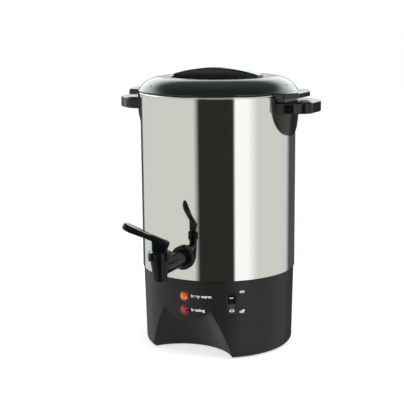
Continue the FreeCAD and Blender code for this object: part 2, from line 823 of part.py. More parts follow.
def shield():
    """Curved plate against the wall, rounded at its foot, for the +X handle."""
    points = []
    steps = 12
    for i in range(steps + 1):
        a = math.pi * i / steps
        y = math.copysign(shield_width * abs(math.cos(a)) ** (2 / shield_power), math.cos(a))
        z = shield_top - shield_drop * math.sin(a) ** (2 / shield_power)
        points.append(V(0, y, z))
    curve = Part.BSplineCurve()
    curve.interpolate(points)
    outline = Part.Wire([curve.toShape(), Part.makeLine(points[-1], points[0])])
    slab = Part.Face(outline).extrude(V(2 * tank_radius, 0, 0))
    outer = tank_radius + shield_gap + shield_thickness
    low = shield_top - shield_drop - shield_taper_start
    high = shield_top + shield_taper_start
    bend = low + shield_taper_height
    ring = Part.makeCone(outer - shield_taper, outer, shield_taper_height, V(0, 0, low))
    ring = ring.fuse(rod(outer, bend, high))
    return slab.common(ring).cut(rod(tank_radius + shield_gap, low - 1, high + 1))


def grip():
    """Shelf grip with rounded corners, hollow underneath, for the +X handle."""
    near = tank_radius - shield_thickness
    elbow = tank_radius + grip_straight
    knee = grip_reach - grip_corner * 0.8
    low = grip_top - grip_thickness

    def plan(inset, start):
        return [(start, -grip_root + inset), (elbow, -grip_root + inset), (knee, -grip_tip + inset),
                (grip_reach - inset, -grip_tip + grip_corner * 0.5 + inset),
                (grip_reach - inset, grip_tip - grip_corner * 0.5 - inset), (knee, grip_tip - inset),
                (elbow, grip_root - inset), (start, grip_root - inset)]

    slab = prism(plan(0, near), grip_thickness, low)
    slab = round_upright(slab, grip_corner, lambda p: knee - 1 < p.x)
    slab = round_upright(slab, 2 * grip_corner, lambda p: elbow - 1 < p.x < elbow + 1)
    middle = grip_top - grip_thickness / 2
    skin = [e for e in slab.Edges
            if abs(abs(e.CenterOfMass.z - middle) - grip_thickness / 2) < 1e-6 and e.BoundBox.XMax > near + 1]
    slab = slab.makeFillet(grip_edge, skin)
    pocket = prism(plan(pocket_wall, tank_radius + shield_thickness + pocket_wall), pocket_depth + 1, low - 1)
    pocket = round_upright(pocket, grip_corner - pocket_wall, lambda p: knee - pocket_wall - 1 < p.x)
    return slab.cut([pocket, rod(tank_radius + shield_gap, low - 1, grip_top + 1)])


def handle():
    """The +X handle: its shield and grip in one moulding, with bores for the two screws."""
    body = shield().fuse(grip()).removeSplitter()
    bores = [Part.makeCylinder(handle_screw_radius, tank_radius + handle_screw_depth,
                               V(0, y, handle_screw_height), V(1, 0, 0))
             for x, y in handle_screw_places() if x > 0]
    return body.cut(bores)


def handle_screws():
    """Screws from inside the tank, each with a soft washer drawn as part of its head."""
    screws = []
    for x, y in handle_screw_places():
        side = math.copysign(1, x)
        reach = math.sqrt(inner_radius ** 2 - (abs(y) + handle_screw_head) ** 2)
        head = Part.makeCylinder(handle_screw_head, screw_head_depth, V(side * reach, y, handle_screw_height),
                                 V(-side, 0, 0))
        shank = Part.makeCylinder(handle_screw_radius, tank_radius + handle_screw_reach - reach,
                                  V(side * reach, y, handle_screw_height), V(side, 0, 0))
        screws.append(head.fuse(shank))
    return group(screws)


# Pump and basket

def pump_tube():
    """Riser that the coffee rises in."""
    return tube(pump_radius, pump_radius - pump_wall, pump_low + 2, pump_top)


def pump_collar():
    """Ring pressed on the riser, which carries the basket."""
    return tube(pump_radius + collar_width, pump_radius, basket_low - collar_height, basket_low)


def pump_foot():
    """Bell at the foot of the riser that stands in the well."""
    low = pump_low
    top = low + pump_foot_height
    r = pump_foot_radius
    return spin([
        (pump_radius, top - 2), (r - 5, top - 2), (r - 2, low), (r, low), (r - 3, top), (pump_radius, top),
    ])


def hole_field(rings, low, high):
    """Upright holes on rings of (circle, count)."""
    holes = []
    for circle, count in rings:
        for i in range(count):
            x, y = polar(circle, 360.0 * i / count)
            holes.append(rod(hole_radius, low, high, x, y))
    return holes


def basket_rings():
    """Rings of holes between the hub and the basket's wall."""
    first = pump_radius + hole_start
    last = basket_radius - hole_margin
    return [(first + (last - first) * i / (hole_rings - 1), hole_step * (i + 1)) for i in range(hole_rings)]


def basket_floor():
    """Perforated floor of the basket, about the riser."""
    inner = pump_radius + running_gap
    plate = tube(basket_radius, inner, basket_low, basket_low + basket_wall)
    return plate.cut(hole_field(basket_rings(), basket_low - 1, basket_low + basket_wall + 1))


def basket_hub():
    """Tube on the basket's floor that slides over the riser."""
    inner = pump_radius + running_gap
    return tube(inner + hub_wall, inner, basket_low + basket_wall, basket_low + hub_height)


def coffee_basket():
    """Wall of the basket, on its floor, with a lip turned out at the top."""
    z, top = basket_low + basket_wall, basket_low + basket_height
    inner = basket_radius - basket_wall
    return spin([
        (inner, z), (basket_radius, z), (basket_radius, top - basket_lip),
        (basket_radius + basket_lip, top - basket_lip), (basket_radius + basket_lip, top), (inner, top),
    ])


def basket_lid():
    """Spreader plate with a raised rim on the basket."""
    t = spreader_thickness
    z = basket_low + basket_height
    r = basket_radius + basket_lip / 2
    inner = pump_radius + running_gap
    boss = inner + spreader_rim
    top = z + spreader_rim
    plate = spin([(inner, z), (r, z), (r, top), (r - t, top), (r - t, z + t), (boss, z + t), (boss, top),
                  (inner, top)])
    return plate.cut(hole_field(basket_rings()[1:-1], z - 1, z + t + 1))


# Lid

def lid_seal():
    """Soft ring about the lid's skirt, with a flange that lies on the rolled rim."""
    inner = skirt_radius + seal_gap
    rest = rim_height + rim_bead + seal_rest_gap
    low = skirt_low + seal_rest_gap
    return spin([
        (inner, low), (seal_radius - seal_chamfer / 2, low), (seal_radius, low + seal_chamfer),
        (seal_radius, rest), (lid_radius - lid_wall - seal_gap, rest),
        (lid_radius - lid_wall - seal_gap, rest + seal_flange), (inner, rest + seal_flange),
    ])


def ear():
    """Flared ear over the +X handle, with a lug down to the grip on the tap's side."""
    top = lid_shoulder - 0.1
    low = top - ear_thickness
    under = top - ear_bridge
    near = skirt_radius
    knee = ear_bridge_radius + ear_shoulder
    reach = tank_radius + ear_length
    plan = [(near, -ear_root), (knee, -ear_root), (reach, -ear_tip), (reach, ear_tip), (knee, ear_root),
            (near, ear_root)]
    plate = prism(plan, ear_thickness, low)
    plate = round_upright(plate, ear_corner, lambda p: p.x > knee + 1)
    plate = round_upright(plate, ear_corner * 0.7, lambda p: knee - 1 < p.x < knee + 1)
    skin = [e for e in plate.Edges if abs(e.CenterOfMass.z - top) < 1e-6 and e.BoundBox.XMax > near + 1]
    plate = plate.makeFillet(ear_edge, skin).cut(rod(ear_bridge_radius, low - 1, under))
    side = -ear_root + ear_edge
    foot = grip_top + lug_gap
    lug = bar(tank_radius, ear_bridge_radius + ear_shoulder, side, side + lug_thickness, foot, top - ear_edge)
    lug = lug.cut(rod(ear_bridge_radius, foot - 1, under))
    return plate.fuse(lug).cut(rod(lid_radius - 0.3, low - 1, lid_low))


def dome(inset):
    """Arc of the lid's dome as its middle and end, inset from the outside."""
    run, rise = lid_radius - crest_radius, crest_height - lid_shoulder
    chord = math.hypot(run, rise)
    shift = dome_bulge - inset
    return ((lid_radius + crest_radius) / 2 + shift * rise / chord,
            (lid_shoulder + crest_height) / 2 + shift * run / chord, crest_radius, crest_height - inset)


def lid_shell():
    """Domed lid with a round recess, a plug skirt, two ears and two steam vents."""
    w = lid_wall
    low = lid_low
    edge = recess_edge
    outer = spin([
        (0, low), (lid_radius, low), (lid_radius, lid_shoulder), dome(0), (recess_radius + edge, crest_height),
        (recess_radius + 0.3 * edge, crest_height - 0.3 * edge, recess_radius, crest_height - edge),
        (recess_floor_radius, recess_floor), (0, recess_floor),
    ])
    hollow = spin([
        (0, low - 1), (lid_radius - w, low - 1), (lid_radius - w, lid_shoulder),
        dome(w), (recess_radius + w, crest_height - w), (recess_floor_radius + w, recess_floor - w),
        (0, recess_floor - w),
    ])
    skirt = tube(skirt_radius, skirt_radius - w, skirt_low, crest_height).common(outer.fuse(
        rod(lid_radius, skirt_low, low)))
    solid = outer.fuse([ear(), turned(ear(), 180)]).cut(hollow).fuse(skirt).removeSplitter()
    cuts = []
    for azimuth in vent_azimuths:
        x, y = polar(lid_radius - vent_inset, azimuth)
        cuts.append(rod(vent_radius, lid_shoulder, crest_height, x, y))
    for side in (1, -1):
        cuts.append(rod(bar_screw_radius + lamp_gap, recess_floor - w - 1, recess_floor + 1,
                        side * bar_screw_circle, 0))
    return solid.cut(cuts)


def lid_grip():
    """Arched web across the recess, its ends curved to follow the recess's wall."""
    end = recess_radius - bar_gap
    foot = end - recess_slope
    half = bar_width / 2
    low = recess_floor
    bar_top = crest_height + bar_rise
    bar_end = crest_height + bar_end_rise
    far = end + bar_gap + bar_edge
    top = Part.Arc(V(-far, 0, bar_end), V(0, 0, bar_top), V(far, 0, bar_end)).toShape()
    path = [V(far, 0, bar_end), V(far, 0, low), V(-far, 0, low), V(-far, 0, bar_end)]
    profile = Part.Face(Part.Wire([top] + [Part.makeLine(a, b) for a, b in zip(path, path[1:])]))
    body = moved(profile.extrude(V(0, bar_width, 0)), 0, -half, 0)
    edges = [e for e in body.Edges if abs(abs(e.CenterOfMass.y) - half) < 1e-6 and e.CenterOfMass.z > bar_end]
    body = body.makeFillet(bar_edge, edges)
    limit = spin([(0, low), (foot, low), (end, crest_height), (end, bar_top + 1), (0, bar_top + 1)])
    pilots = [rod(bar_screw_radius, low - 1, low + bar_screw_length + 1, side * bar_screw_circle, 0)
              for side in (1, -1)]
    return body.common(limit).cut(pilots)


def grip_screws():
    """Screws up through the recess floor into the ends of the grip."""
    low = recess_floor - lid_wall
    return group([
        rod(bar_screw_head, low - bolt_head, low, side * bar_screw_circle, 0).fuse(
            rod(bar_screw_radius, low - bolt_head, recess_floor + bar_screw_length, side * bar_screw_circle, 0))
        for side in (1, -1)
    ])


save("tank_shell", tank_shell())
save("tank_bottom", tank_bottom())
save("heating_element", heating_element())
save("keep_warm_heater", keep_warm_heater())
save("thermostat", thermostat())
save("thermal_fuse", thermal_fuse())
save("base_shell", base_shell())
save("bottom_cover", bottom_cover())
save("rubber_feet", rubber_feet())
save("cover_screws", cover_screws())
save("centre_standoff", centre_standoff())
save("centre_screw", centre_screw())
save("amber_lamp", lamp_lens(amber_height))
save("red_lamp", lamp_lens(red_height))
save("lamp_bodies", lamp_bodies())
save("switch_frame", switch_frame())
save("switch_rocker", switch_rocker())
save("power_inlet", power_inlet())
save("inlet_pins", inlet_pins())
save("tap_body", tap_body())
save("tap_gasket", tap_gasket())
save("tap_inner_gasket", tap_inner_gasket())
save("tap_nut", tap_nut())
save("tap_bonnet", tap_bonnet())
save("cam_washer", cam_washer())
save("valve_stem", valve_stem())
save("seat_cup", seat_cup())
save("lever_pin", lever_turn(lever_pin_bar(pin_radius)))
save("tap_lever", tap_lever())
save("handle_right", handle())
save("handle_left", turned(handle(), 180))
save("handle_screws", handle_screws())
save("pump_tube", pump_tube())
save("pump_collar", pump_collar())
save("pump_foot", pump_foot())
save("basket_floor", basket_floor())
save("basket_hub", basket_hub())
save("coffee_basket", coffee_basket())
save("basket_lid", basket_lid())
save("lid_seal", lid_seal())
save("lid_shell", lid_shell())
save("lid_grip", lid_grip())
save("grip_screws", grip_screws())
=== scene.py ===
"""Coffee urn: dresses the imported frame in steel, moulded plastics and lettering, in a plain studio."""

import functools
import json
import math

import bmesh
import bpy
from bpy.props import FloatProperty, FloatVectorProperty, IntProperty, PointerProperty, StringProperty
from mathutils import Matrix, Vector
from mathutils.bvhtree import BVHTree


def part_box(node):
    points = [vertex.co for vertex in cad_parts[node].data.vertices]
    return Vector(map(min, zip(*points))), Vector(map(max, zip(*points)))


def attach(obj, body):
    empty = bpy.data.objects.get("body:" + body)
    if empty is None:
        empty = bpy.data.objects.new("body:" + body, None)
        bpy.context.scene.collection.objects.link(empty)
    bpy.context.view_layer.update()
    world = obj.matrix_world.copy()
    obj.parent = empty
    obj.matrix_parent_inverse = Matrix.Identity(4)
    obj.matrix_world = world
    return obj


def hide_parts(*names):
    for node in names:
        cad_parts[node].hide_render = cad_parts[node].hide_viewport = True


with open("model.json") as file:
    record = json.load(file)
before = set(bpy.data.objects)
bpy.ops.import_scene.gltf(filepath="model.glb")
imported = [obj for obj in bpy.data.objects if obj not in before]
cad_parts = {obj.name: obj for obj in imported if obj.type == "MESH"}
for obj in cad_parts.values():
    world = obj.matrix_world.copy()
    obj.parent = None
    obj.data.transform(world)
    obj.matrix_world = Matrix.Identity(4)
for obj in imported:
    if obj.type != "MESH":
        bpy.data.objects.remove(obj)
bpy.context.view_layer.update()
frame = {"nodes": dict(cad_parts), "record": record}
cad = frame["nodes"]

bl_info = {
    "name": "Coffee urn",
    "version": (1, 0, 0),
    "blender": (4, 5, 0),
    "location": "3D View > Sidebar > Coffee urn",
    "description": "Dresses the frame of a coffee urn with its finished pieces, materials and studio",
    "category": "Object",
}

MM = 0.001


# Sizes that come from the frame, in metres

def middle(node):
    """Middle of a CAD node's box."""
    low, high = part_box(node)
    return (low + high) / 2


rim_bead = 1.5 * MM
tank_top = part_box("tank_shell")[1].z - rim_bead
tank_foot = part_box("tank_shell")[0].z
tank_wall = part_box("tank_bottom")[1].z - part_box("heating_element")[1].z
tank_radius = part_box("tank_bottom")[1].x + tank_wall


# Colours, nodes and meshes

def linear(code, alpha=1.0):
    """sRGB hex colour as linear RGBA."""
    values = [int(code[i:i + 2], 16) / 255 for i in (1, 3, 5)]
    return [v / 12.92 if v <= 0.04045 else ((v + 0.055) / 1.055) ** 2.4 for v in values] + [alpha]


def add(tree, kind, inputs=None, **settings):
    """Add a node, apply its settings, then link or set its inputs."""
    made = tree.nodes.new(kind)
    for name, value in settings.items():
        setattr(made, name, value)
    for key, value in (inputs or {}).items():
        if isinstance(value, bpy.types.NodeSocket):
            tree.links.new(value, made.inputs[key])
        else:
            made.inputs[key].default_value = value
    return made


def ramp(made, stops):
    """Set a colour ramp's stops from (position, colour) pairs."""
    elements = made.color_ramp.elements
    while len(elements) < len(stops):
        elements.new(0.5)
    for element, (position, colour) in zip(elements, stops):
        element.position = position
        element.color = colour
    return made


def smooth(mesh, degrees=35.0):
    """Shade smooth, but keep edges sharper than an angle crisp."""
    mesh.shade_smooth()
    mesh.set_sharp_from_angle(angle=math.radians(degrees))


def piece(name, mesh, body, material=None, replaces=()):
    """Put a finished mesh in the scene as a piece that rides on a body."""
    made = bpy.data.objects.new(name, mesh)
    bpy.context.scene.collection.objects.link(made)
    if material:
        mesh.materials.clear()
        mesh.materials.append(material)
    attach(made, body)
    if replaces:
        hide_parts(*replaces)
    return made


def merged(node):
    """Copy of a CAD node's mesh with its loose triangles joined."""
    mesh = cad[node].data.copy()
    work = bmesh.new()
    work.from_mesh(mesh)
    bmesh.ops.remove_doubles(work, verts=work.verts, dist=1e-6)
    work.to_mesh(mesh)
    work.free()
    return mesh


def solids(node):
    """Lowest and highest corner of each separate solid of a CAD node."""
    work = bmesh.new()
    work.from_mesh(merged(node))
    boxes, seen = [], set()
    for start in work.verts:
        if start in seen:
            continue
        seen.add(start)
        group, front = [], [start]
        while front:
            vertex = front.pop()
            group.append(tuple(vertex.co))
            for edge in vertex.link_edges:
                other = edge.other_vert(vertex)
                if other not in seen:
                    seen.add(other)
                    front.append(other)
        boxes.append((Vector(map(min, zip(*group))), Vector(map(max, zip(*group)))))
    work.free()
    return boxes


def finish_node(node, material):
    """Give a CAD node its material."""
    mesh = cad[node].data
    mesh.materials.clear()
    mesh.materials.append(material)


# Lathe, as Geometry Nodes

def new_tree(name, inputs):
    """Geometry Nodes tree from an outline and a material to a shape, with (name, kind) inputs between."""
    tree = bpy.data.node_groups.new(name, "GeometryNodeTree")
    for title, kind in (("Outline", "Geometry"), *inputs, ("Finish", "Material")):
        tree.interface.new_socket(title, in_out="INPUT", socket_type="NodeSocket" + kind)
    tree.interface.new_socket("Shape", in_out="OUTPUT", socket_type="NodeSocketGeometry")
    return tree, add(tree, "NodeGroupInput").outputs


def send_out(tree, shape, finish):
    """Make a tree's shape real, give it its material and pass it on."""
    shape = add(tree, "GeometryNodeRealizeInstances", {"Geometry": shape})
    shape = add(tree, "GeometryNodeSetMaterial", {"Geometry": shape.outputs[0], "Material": finish})
    add(tree, "NodeGroupOutput", {"Shape": shape.outputs[0]})


def lathe_tree():
    """Node tree that spins an outline about Z."""
    tree, given = new_tree("lathe", [("Segments", "Int")])
    count = add(tree, "GeometryNodeAttributeDomainSize", {"Geometry": given["Outline"]}, component="MESH")
    count = count.outputs["Point Count"]
    columns = add(tree, "ShaderNodeMath", {0: given["Segments"], 1: 1.0}, operation="ADD")
    grid = add(tree, "GeometryNodeMeshGrid", {
        "Size X": 1.0, "Size Y": 1.0, "Vertices X": columns.outputs[0], "Vertices Y": count})
    index = add(tree, "GeometryNodeInputIndex").outputs[0]
    column = add(tree, "ShaderNodeMath", {0: index, 1: count}, operation="DIVIDE")
    column = add(tree, "ShaderNodeMath", {0: column.outputs[0]}, operation="FLOOR")
    row = add(tree, "ShaderNodeMath", {0: index, 1: count}, operation="FLOORED_MODULO")
    place = add(tree, "GeometryNodeInputPosition").outputs[0]
    point = add(tree, "GeometryNodeSampleIndex", {
        "Geometry": given["Outline"], "Value": place, "Index": row.outputs[0]}, data_type="FLOAT_VECTOR")
    turn = add(tree, "ShaderNodeMath", {0: column.outputs[0], 1: given["Segments"]}, operation="DIVIDE")
    angle = add(tree, "ShaderNodeMath", {0: turn.outputs[0], 1: math.tau}, operation="MULTIPLY")
    spun = add(tree, "ShaderNodeVectorRotate", {
        "Vector": point.outputs["Value"], "Angle": angle.outputs[0]}, rotation_type="Z_AXIS")
    shape = add(tree, "GeometryNodeSetPosition", {
        "Geometry": grid.outputs["Mesh"], "Position": spun.outputs[0]})
    shape = add(tree, "GeometryNodeMergeByDistance", {"Geometry": shape.outputs[0], "Distance": 1e-6})
    send_out(tree, shape.outputs[0], given["Finish"])
    return tree


def fastener_tree(spin):
    """Node tree that sets a spun fastener at each place, with a cross recess in its head if asked."""
    tree, given = new_tree("fasteners", [
        ("Places", "Object"), ("Segments", "Int"), ("Recess width", "Float"), ("Recess reach", "Float"),
        ("Recess depth", "Float")])
    shape = add(tree, "GeometryNodeGroup", {
        "Outline": given["Outline"], "Segments": given["Segments"], "Finish": given["Finish"]},
        node_tree=spin)
    shape = add(tree, "GeometryNodeFlipFaces", {0: shape.outputs[0]})
    deep = add(tree, "ShaderNodeMath", {0: given["Recess depth"], 1: 2.0}, operation="MULTIPLY")
    one = add(tree, "ShaderNodeCombineXYZ", {
        "X": given["Recess reach"], "Y": given["Recess width"], "Z": deep.outputs[0]})
    other = add(tree, "ShaderNodeCombineXYZ", {
        "X": given["Recess width"], "Y": given["Recess reach"], "Z": deep.outputs[0]})
    one = add(tree, "GeometryNodeMeshCube", {"Size": one.outputs[0]})
    other = add(tree, "GeometryNodeMeshCube", {"Size": other.outputs[0]})
    cut = add(tree, "GeometryNodeMeshBoolean", {"Mesh 1": shape.outputs[0], "Mesh 2": one.outputs["Mesh"]},
              operation="DIFFERENCE", solver="EXACT")
    tree.links.new(other.outputs["Mesh"], cut.inputs["Mesh 2"])
    recessed = add(tree, "FunctionNodeCompare", {0: given["Recess depth"], 1: 0.0},
                   operation="GREATER_THAN")
    shape = add(tree, "GeometryNodeSwitch", {
        "Switch": recessed.outputs[0], "False": shape.outputs[0], "True": cut.outputs["Mesh"]},
        input_type="GEOMETRY")
    places = add(tree, "GeometryNodeObjectInfo", {"Object": given["Places"]})
    axis = add(tree, "GeometryNodeInputNamedAttribute", {"Name": "axis"}, data_type="FLOAT_VECTOR")
    spun = add(tree, "FunctionNodeRandomValue", {2: 0.0, 3: math.tau, "Seed": 7}, data_type="FLOAT")
    spun = add(tree, "FunctionNodeAxisAngleToRotation", {"Axis": (0.0, 0.0, 1.0), "Angle": spun.outputs[1]})
    turned = add(tree, "FunctionNodeAlignRotationToVector", {
        "Rotation": spun.outputs[0], "Vector": axis.outputs[0]}, axis="Z")
    shape = add(tree, "GeometryNodeInstanceOnPoints", {
        "Points": places.outputs["Geometry"], "Instance": shape.outputs[0], "Rotation": turned.outputs[0]})
    send_out(tree, shape.outputs[0], given["Finish"])
    return tree


def grown(tree, mesh, inputs):
    """Plain mesh that a node tree makes from a mesh with the given named inputs."""
    source = bpy.data.objects.new("source", mesh)
    bpy.context.scene.collection.objects.link(source)
    modifier = source.modifiers.new("nodes", "NODES")
    modifier.node_group = tree
    sockets = {s.name: s.identifier for s in tree.interface.items_tree if s.in_out == "INPUT"}
    for name, value in inputs.items():
        modifier[sockets[name]] = value
    bpy.context.view_layer.update()
    result = bpy.data.meshes.new_from_object(source.evaluated_get(bpy.context.evaluated_depsgraph_get()))
    source.modifiers.clear()
    bpy.data.objects.remove(source)
    return result


def arc(centre, radius, start, end, steps):
    """Points of an arc in the outline's plane, from one angle in degrees to another."""
    angles = [math.radians(start + (end - start) * i / steps) for i in range(steps + 1)]
    return [(centre[0] + radius * math.cos(a), centre[1] + radius * math.sin(a)) for a in angles]


def lathe(outline, segments, material):
    """Mesh spun from a closed outline of (radius, height) points."""
    spun = grown(lathe_tree(), line_mesh([*outline, outline[0]]), {
        "Segments": segments, "Finish": material})
    work = bmesh.new()
    work.from_mesh(spun)
    bmesh.ops.recalc_face_normals(work, faces=work.faces)
    work.to_mesh(spun)
    work.free()
    smooth(spun)
    return spun


def line_mesh(points):
    """Open or closed line of (radius, height) points, for spinning."""
    mesh = bpy.data.meshes.new("outline")
    mesh.from_pydata([(r, 0.0, z) for r, z in points], [(i, i + 1) for i in range(len(points) - 1)], [])
    return mesh


def fasteners(node, outward, outline, segments, material, recess=(0.0, 0.0, 0.0)):
    """Mesh with one spun fastener at the outer end of each solid of a CAD node."""
    spots, axes = [], []
    for low, high in solids(node):
        centre = (low + high) / 2
        axis = outward(centre)
        spots.append(centre + Vector(a * s / 2 for a, s in zip(axis, high - low)))
        axes.extend(axis)
    places = bpy.data.meshes.new("places")
    places.from_pydata(spots, [], [])
    places.attributes.new("axis", "FLOAT_VECTOR", "POINT").data.foreach_set("vector", axes)
    holder = bpy.data.objects.new("places", places)
    bpy.context.scene.collection.objects.link(holder)
    width, reach, depth = recess
    made = grown(fastener_tree(lathe_tree()), line_mesh(outline), {
        "Places": holder, "Segments": segments, "Recess width": width, "Recess reach": reach,
        "Recess depth": depth, "Finish": material})
    bpy.data.objects.remove(holder)
    smooth(made)
    return made


def down(centre):
    """Outward direction of a fastener under its piece."""
    return Vector((0.0, 0.0, -1.0))


def screw_outline(radius, head, shank, length, pitch):
    """Outline of a pan-headed screw with its head's top at zero and its thread below."""
    points = [(0.0, 0.0), (0.45 * radius, -0.02 * head), (0.75 * radius, -0.14 * head),
              (0.92 * radius, -0.36 * head), (radius, -0.66 * head), (radius, -0.9 * head),
              (0.97 * radius, -head), (shank, -head)]
    count = max(2, int((length - head - 2 * shank) / pitch))
    for i in range(count):
        z = -head - pitch * (i + 0.3)
        points += [(shank, z), (0.8 * shank, z - 0.5 * pitch)]
    points += [(0.8 * shank, -length + shank), (0.0, -length)]
    return points


# Materials

def new_material(name, sockets):
    """Material with one Principled shader whose sockets are set as given."""
    made = bpy.data.materials.new(name)
    made.use_nodes = True
    tree = made.node_tree
    tree.nodes.clear()
    shader = add(tree, "ShaderNodeBsdfPrincipled", sockets)
    add(tree, "ShaderNodeOutputMaterial", {"Surface": shader.outputs[0]})
    return made, tree, shader


def grained(tree, shader, size, depth, stretch=(1.0, 1.0, 1.0)):
    """Bump a surface with irregular grain of a real size and depth, longer along a stretched axis."""
    place = add(tree, "ShaderNodeTexCoord").outputs["Object"]
    spread = add(tree, "ShaderNodeMapping", {"Vector": place, "Scale": [1 / s for s in stretch]})
    noise = add(tree, "ShaderNodeTexNoise", {"Vector": spread.outputs[0], "Scale": 1 / size, "Detail": 2.0})
    bump = add(tree, "ShaderNodeBump", {"Height": noise.outputs[0], "Distance": depth, "Strength": 1.0})
    tree.links.new(bump.outputs[0], shader.inputs["Normal"])


def clouded(tree, shader, socket, size, low, high):
    """Let a socket wander between two values or colours over patches of a real size."""
    place = add(tree, "ShaderNodeTexCoord").outputs["Object"]
    noise = add(tree, "ShaderNodeTexNoise", {"Vector": place, "Scale": 1 / size, "Detail": 3.0})
    if isinstance(low, float):
        spread = add(tree, "ShaderNodeMapRange", {
            "Value": noise.outputs[0], "From Min": 0.3, "From Max": 0.7, "To Min": low, "To Max": high})
    else:
        spread = ramp(add(tree, "ShaderNodeValToRGB", {0: noise.outputs[0]}), [(0.3, low), (0.7, high)])
    tree.links.new(spread.outputs[0], shader.inputs[socket])


@functools.cache
def polished_steel():
    """Rolled 18/8 stainless steel sheet, buffed bright: a mirror with faint streaks up the wall."""
    made, tree, shader = new_material("polished stainless steel", {
        "Base Color": linear("#E4E4E2"), "Metallic": 1.0})
    clouded(tree, shader, "Roughness", 60 * MM, 0.045, 0.065)
    # Buffing lines are a few hundredths of a millimetre wide, drawn here at 2.5 mm so that they show.
    grained(tree, shader, 2.5 * MM, 0.0012 * MM, stretch=(1.0, 1.0, 60.0))
    return made


@functools.cache
def mill_steel():
    """Stainless steel with its cold-rolled mill finish: dull grey with a fine lay."""
    made, tree, shader = new_material("mill finish stainless steel", {
        "Base Color": linear("#C4C3BF"), "Metallic": 1.0})
    clouded(tree, shader, "Roughness", 30 * MM, 0.28, 0.40)
    grained(tree, shader, 0.8 * MM, 0.008 * MM, stretch=(20.0, 1.0, 1.0))
    return made


@functools.cache
def base_plastic():
    """Polypropylene moulded in a spark-eroded tool: near-black, satin, with a fine even grain."""
    made, tree, shader = new_material("moulded polypropylene, satin", {
        "IOR": 1.49, "Specular IOR Level": 0.28})
    clouded(tree, shader, "Base Color", 45 * MM, linear("#1B1D1D"), linear("#212424"))
    clouded(tree, shader, "Roughness", 25 * MM, 0.34, 0.42)
    # The tool's grain is about 0.1 mm, drawn at 0.7 mm so that it shows.
    grained(tree, shader, 0.7 * MM, 0.010 * MM)
    return made


@functools.cache
def lid_plastic():
    """Polypropylene moulded in a polished tool: dark green-grey and glossy."""
    made, tree, shader = new_material("moulded polypropylene, glossy", {"IOR": 1.49})
    clouded(tree, shader, "Base Color", 50 * MM, linear("#1A1F1F"), linear("#1D2323"))
    clouded(tree, shader, "Roughness", 30 * MM, 0.12, 0.17)
    # Sink and flow marks of a thin moulding, a few hundredths of a millimetre over 15 mm.
    grained(tree, shader, 15 * MM, 0.04 * MM)
    return made


@functools.cache
def phenolic():
    """Phenolic compression moulding: deep black and glossy, with a slightly uneven skin."""
    made, tree, shader = new_material("phenolic moulding", {"IOR": 1.6, "Specular IOR Level": 0.3})
    clouded(tree, shader, "Base Color", 20 * MM, linear("#0C0C0C"), linear("#101010"))
    clouded(tree, shader, "Roughness", 12 * MM, 0.10, 0.16)
    grained(tree, shader, 5 * MM, 0.02 * MM)
    return made


@functools.cache
def acetal():
    """Acetal of the tap: black, moulded, with a softer gloss than the handles'."""
    made, tree, shader = new_material("moulded acetal", {"IOR": 1.48, "Specular IOR Level": 0.22})
    clouded(tree, shader, "Base Color", 14 * MM, linear("#0A0B0B"), linear("#0F1010"))
    clouded(tree, shader, "Roughness", 10 * MM, 0.15, 0.24)
    grained(tree, shader, 4 * MM, 0.012 * MM)
    return made


@functools.cache
def nylon():
    """Glass-filled nylon of the switch and inlet: black with a close sheen."""
    made, tree, shader = new_material("moulded nylon", {"IOR": 1.53})
    clouded(tree, shader, "Base Color", 8 * MM, linear("#101112"), linear("#151617"))
    clouded(tree, shader, "Roughness", 6 * MM, 0.26, 0.34)
    grained(tree, shader, 0.5 * MM, 0.006 * MM)
    return made


@functools.cache
def polycarbonate():
    """Polycarbonate of the rocker: black, moulded smooth, with a wet gloss."""
    made, tree, shader = new_material("moulded polycarbonate", {"IOR": 1.58})
    clouded(tree, shader, "Base Color", 8 * MM, linear("#0E0F10"), linear("#141516"))
    clouded(tree, shader, "Roughness", 6 * MM, 0.10, 0.16)
    grained(tree, shader, 3 * MM, 0.006 * MM)
    return made


@functools.cache
def rubber():
    """Moulded black rubber of the feet: matt, with a dusty bloom."""
    made, tree, shader = new_material("moulded rubber", {"IOR": 1.52})
    clouded(tree, shader, "Base Color", 4 * MM, linear("#1A1A1A"), linear("#262626"))
    clouded(tree, shader, "Roughness", 5 * MM, 0.70, 0.85)
    grained(tree, shader, 0.4 * MM, 0.02 * MM)
    return made


@functools.cache
def silicone():
    """Moulded black silicone rubber of the seals: dull, with a waxy sheen."""
    made, tree, shader = new_material("moulded silicone rubber", {"IOR": 1.41, "Sheen Weight": 0.15})
    clouded(tree, shader, "Base Color", 12 * MM, linear("#202121"), linear("#292A2A"))
    clouded(tree, shader, "Roughness", 8 * MM, 0.48, 0.58)
    grained(tree, shader, 0.6 * MM, 0.01 * MM)
    return made


@functools.cache
def zinc_steel():
    """Zinc-plated steel of screws and the stem: bright with a faint blue cast."""
    made, tree, shader = new_material("zinc-plated steel", {"Metallic": 1.0})
    clouded(tree, shader, "Base Color", 3 * MM, linear("#B9BDC2"), linear("#C9CBCC"))
    clouded(tree, shader, "Roughness", 2 * MM, 0.24, 0.36)
    grained(tree, shader, 0.4 * MM, 0.006 * MM)
    return made


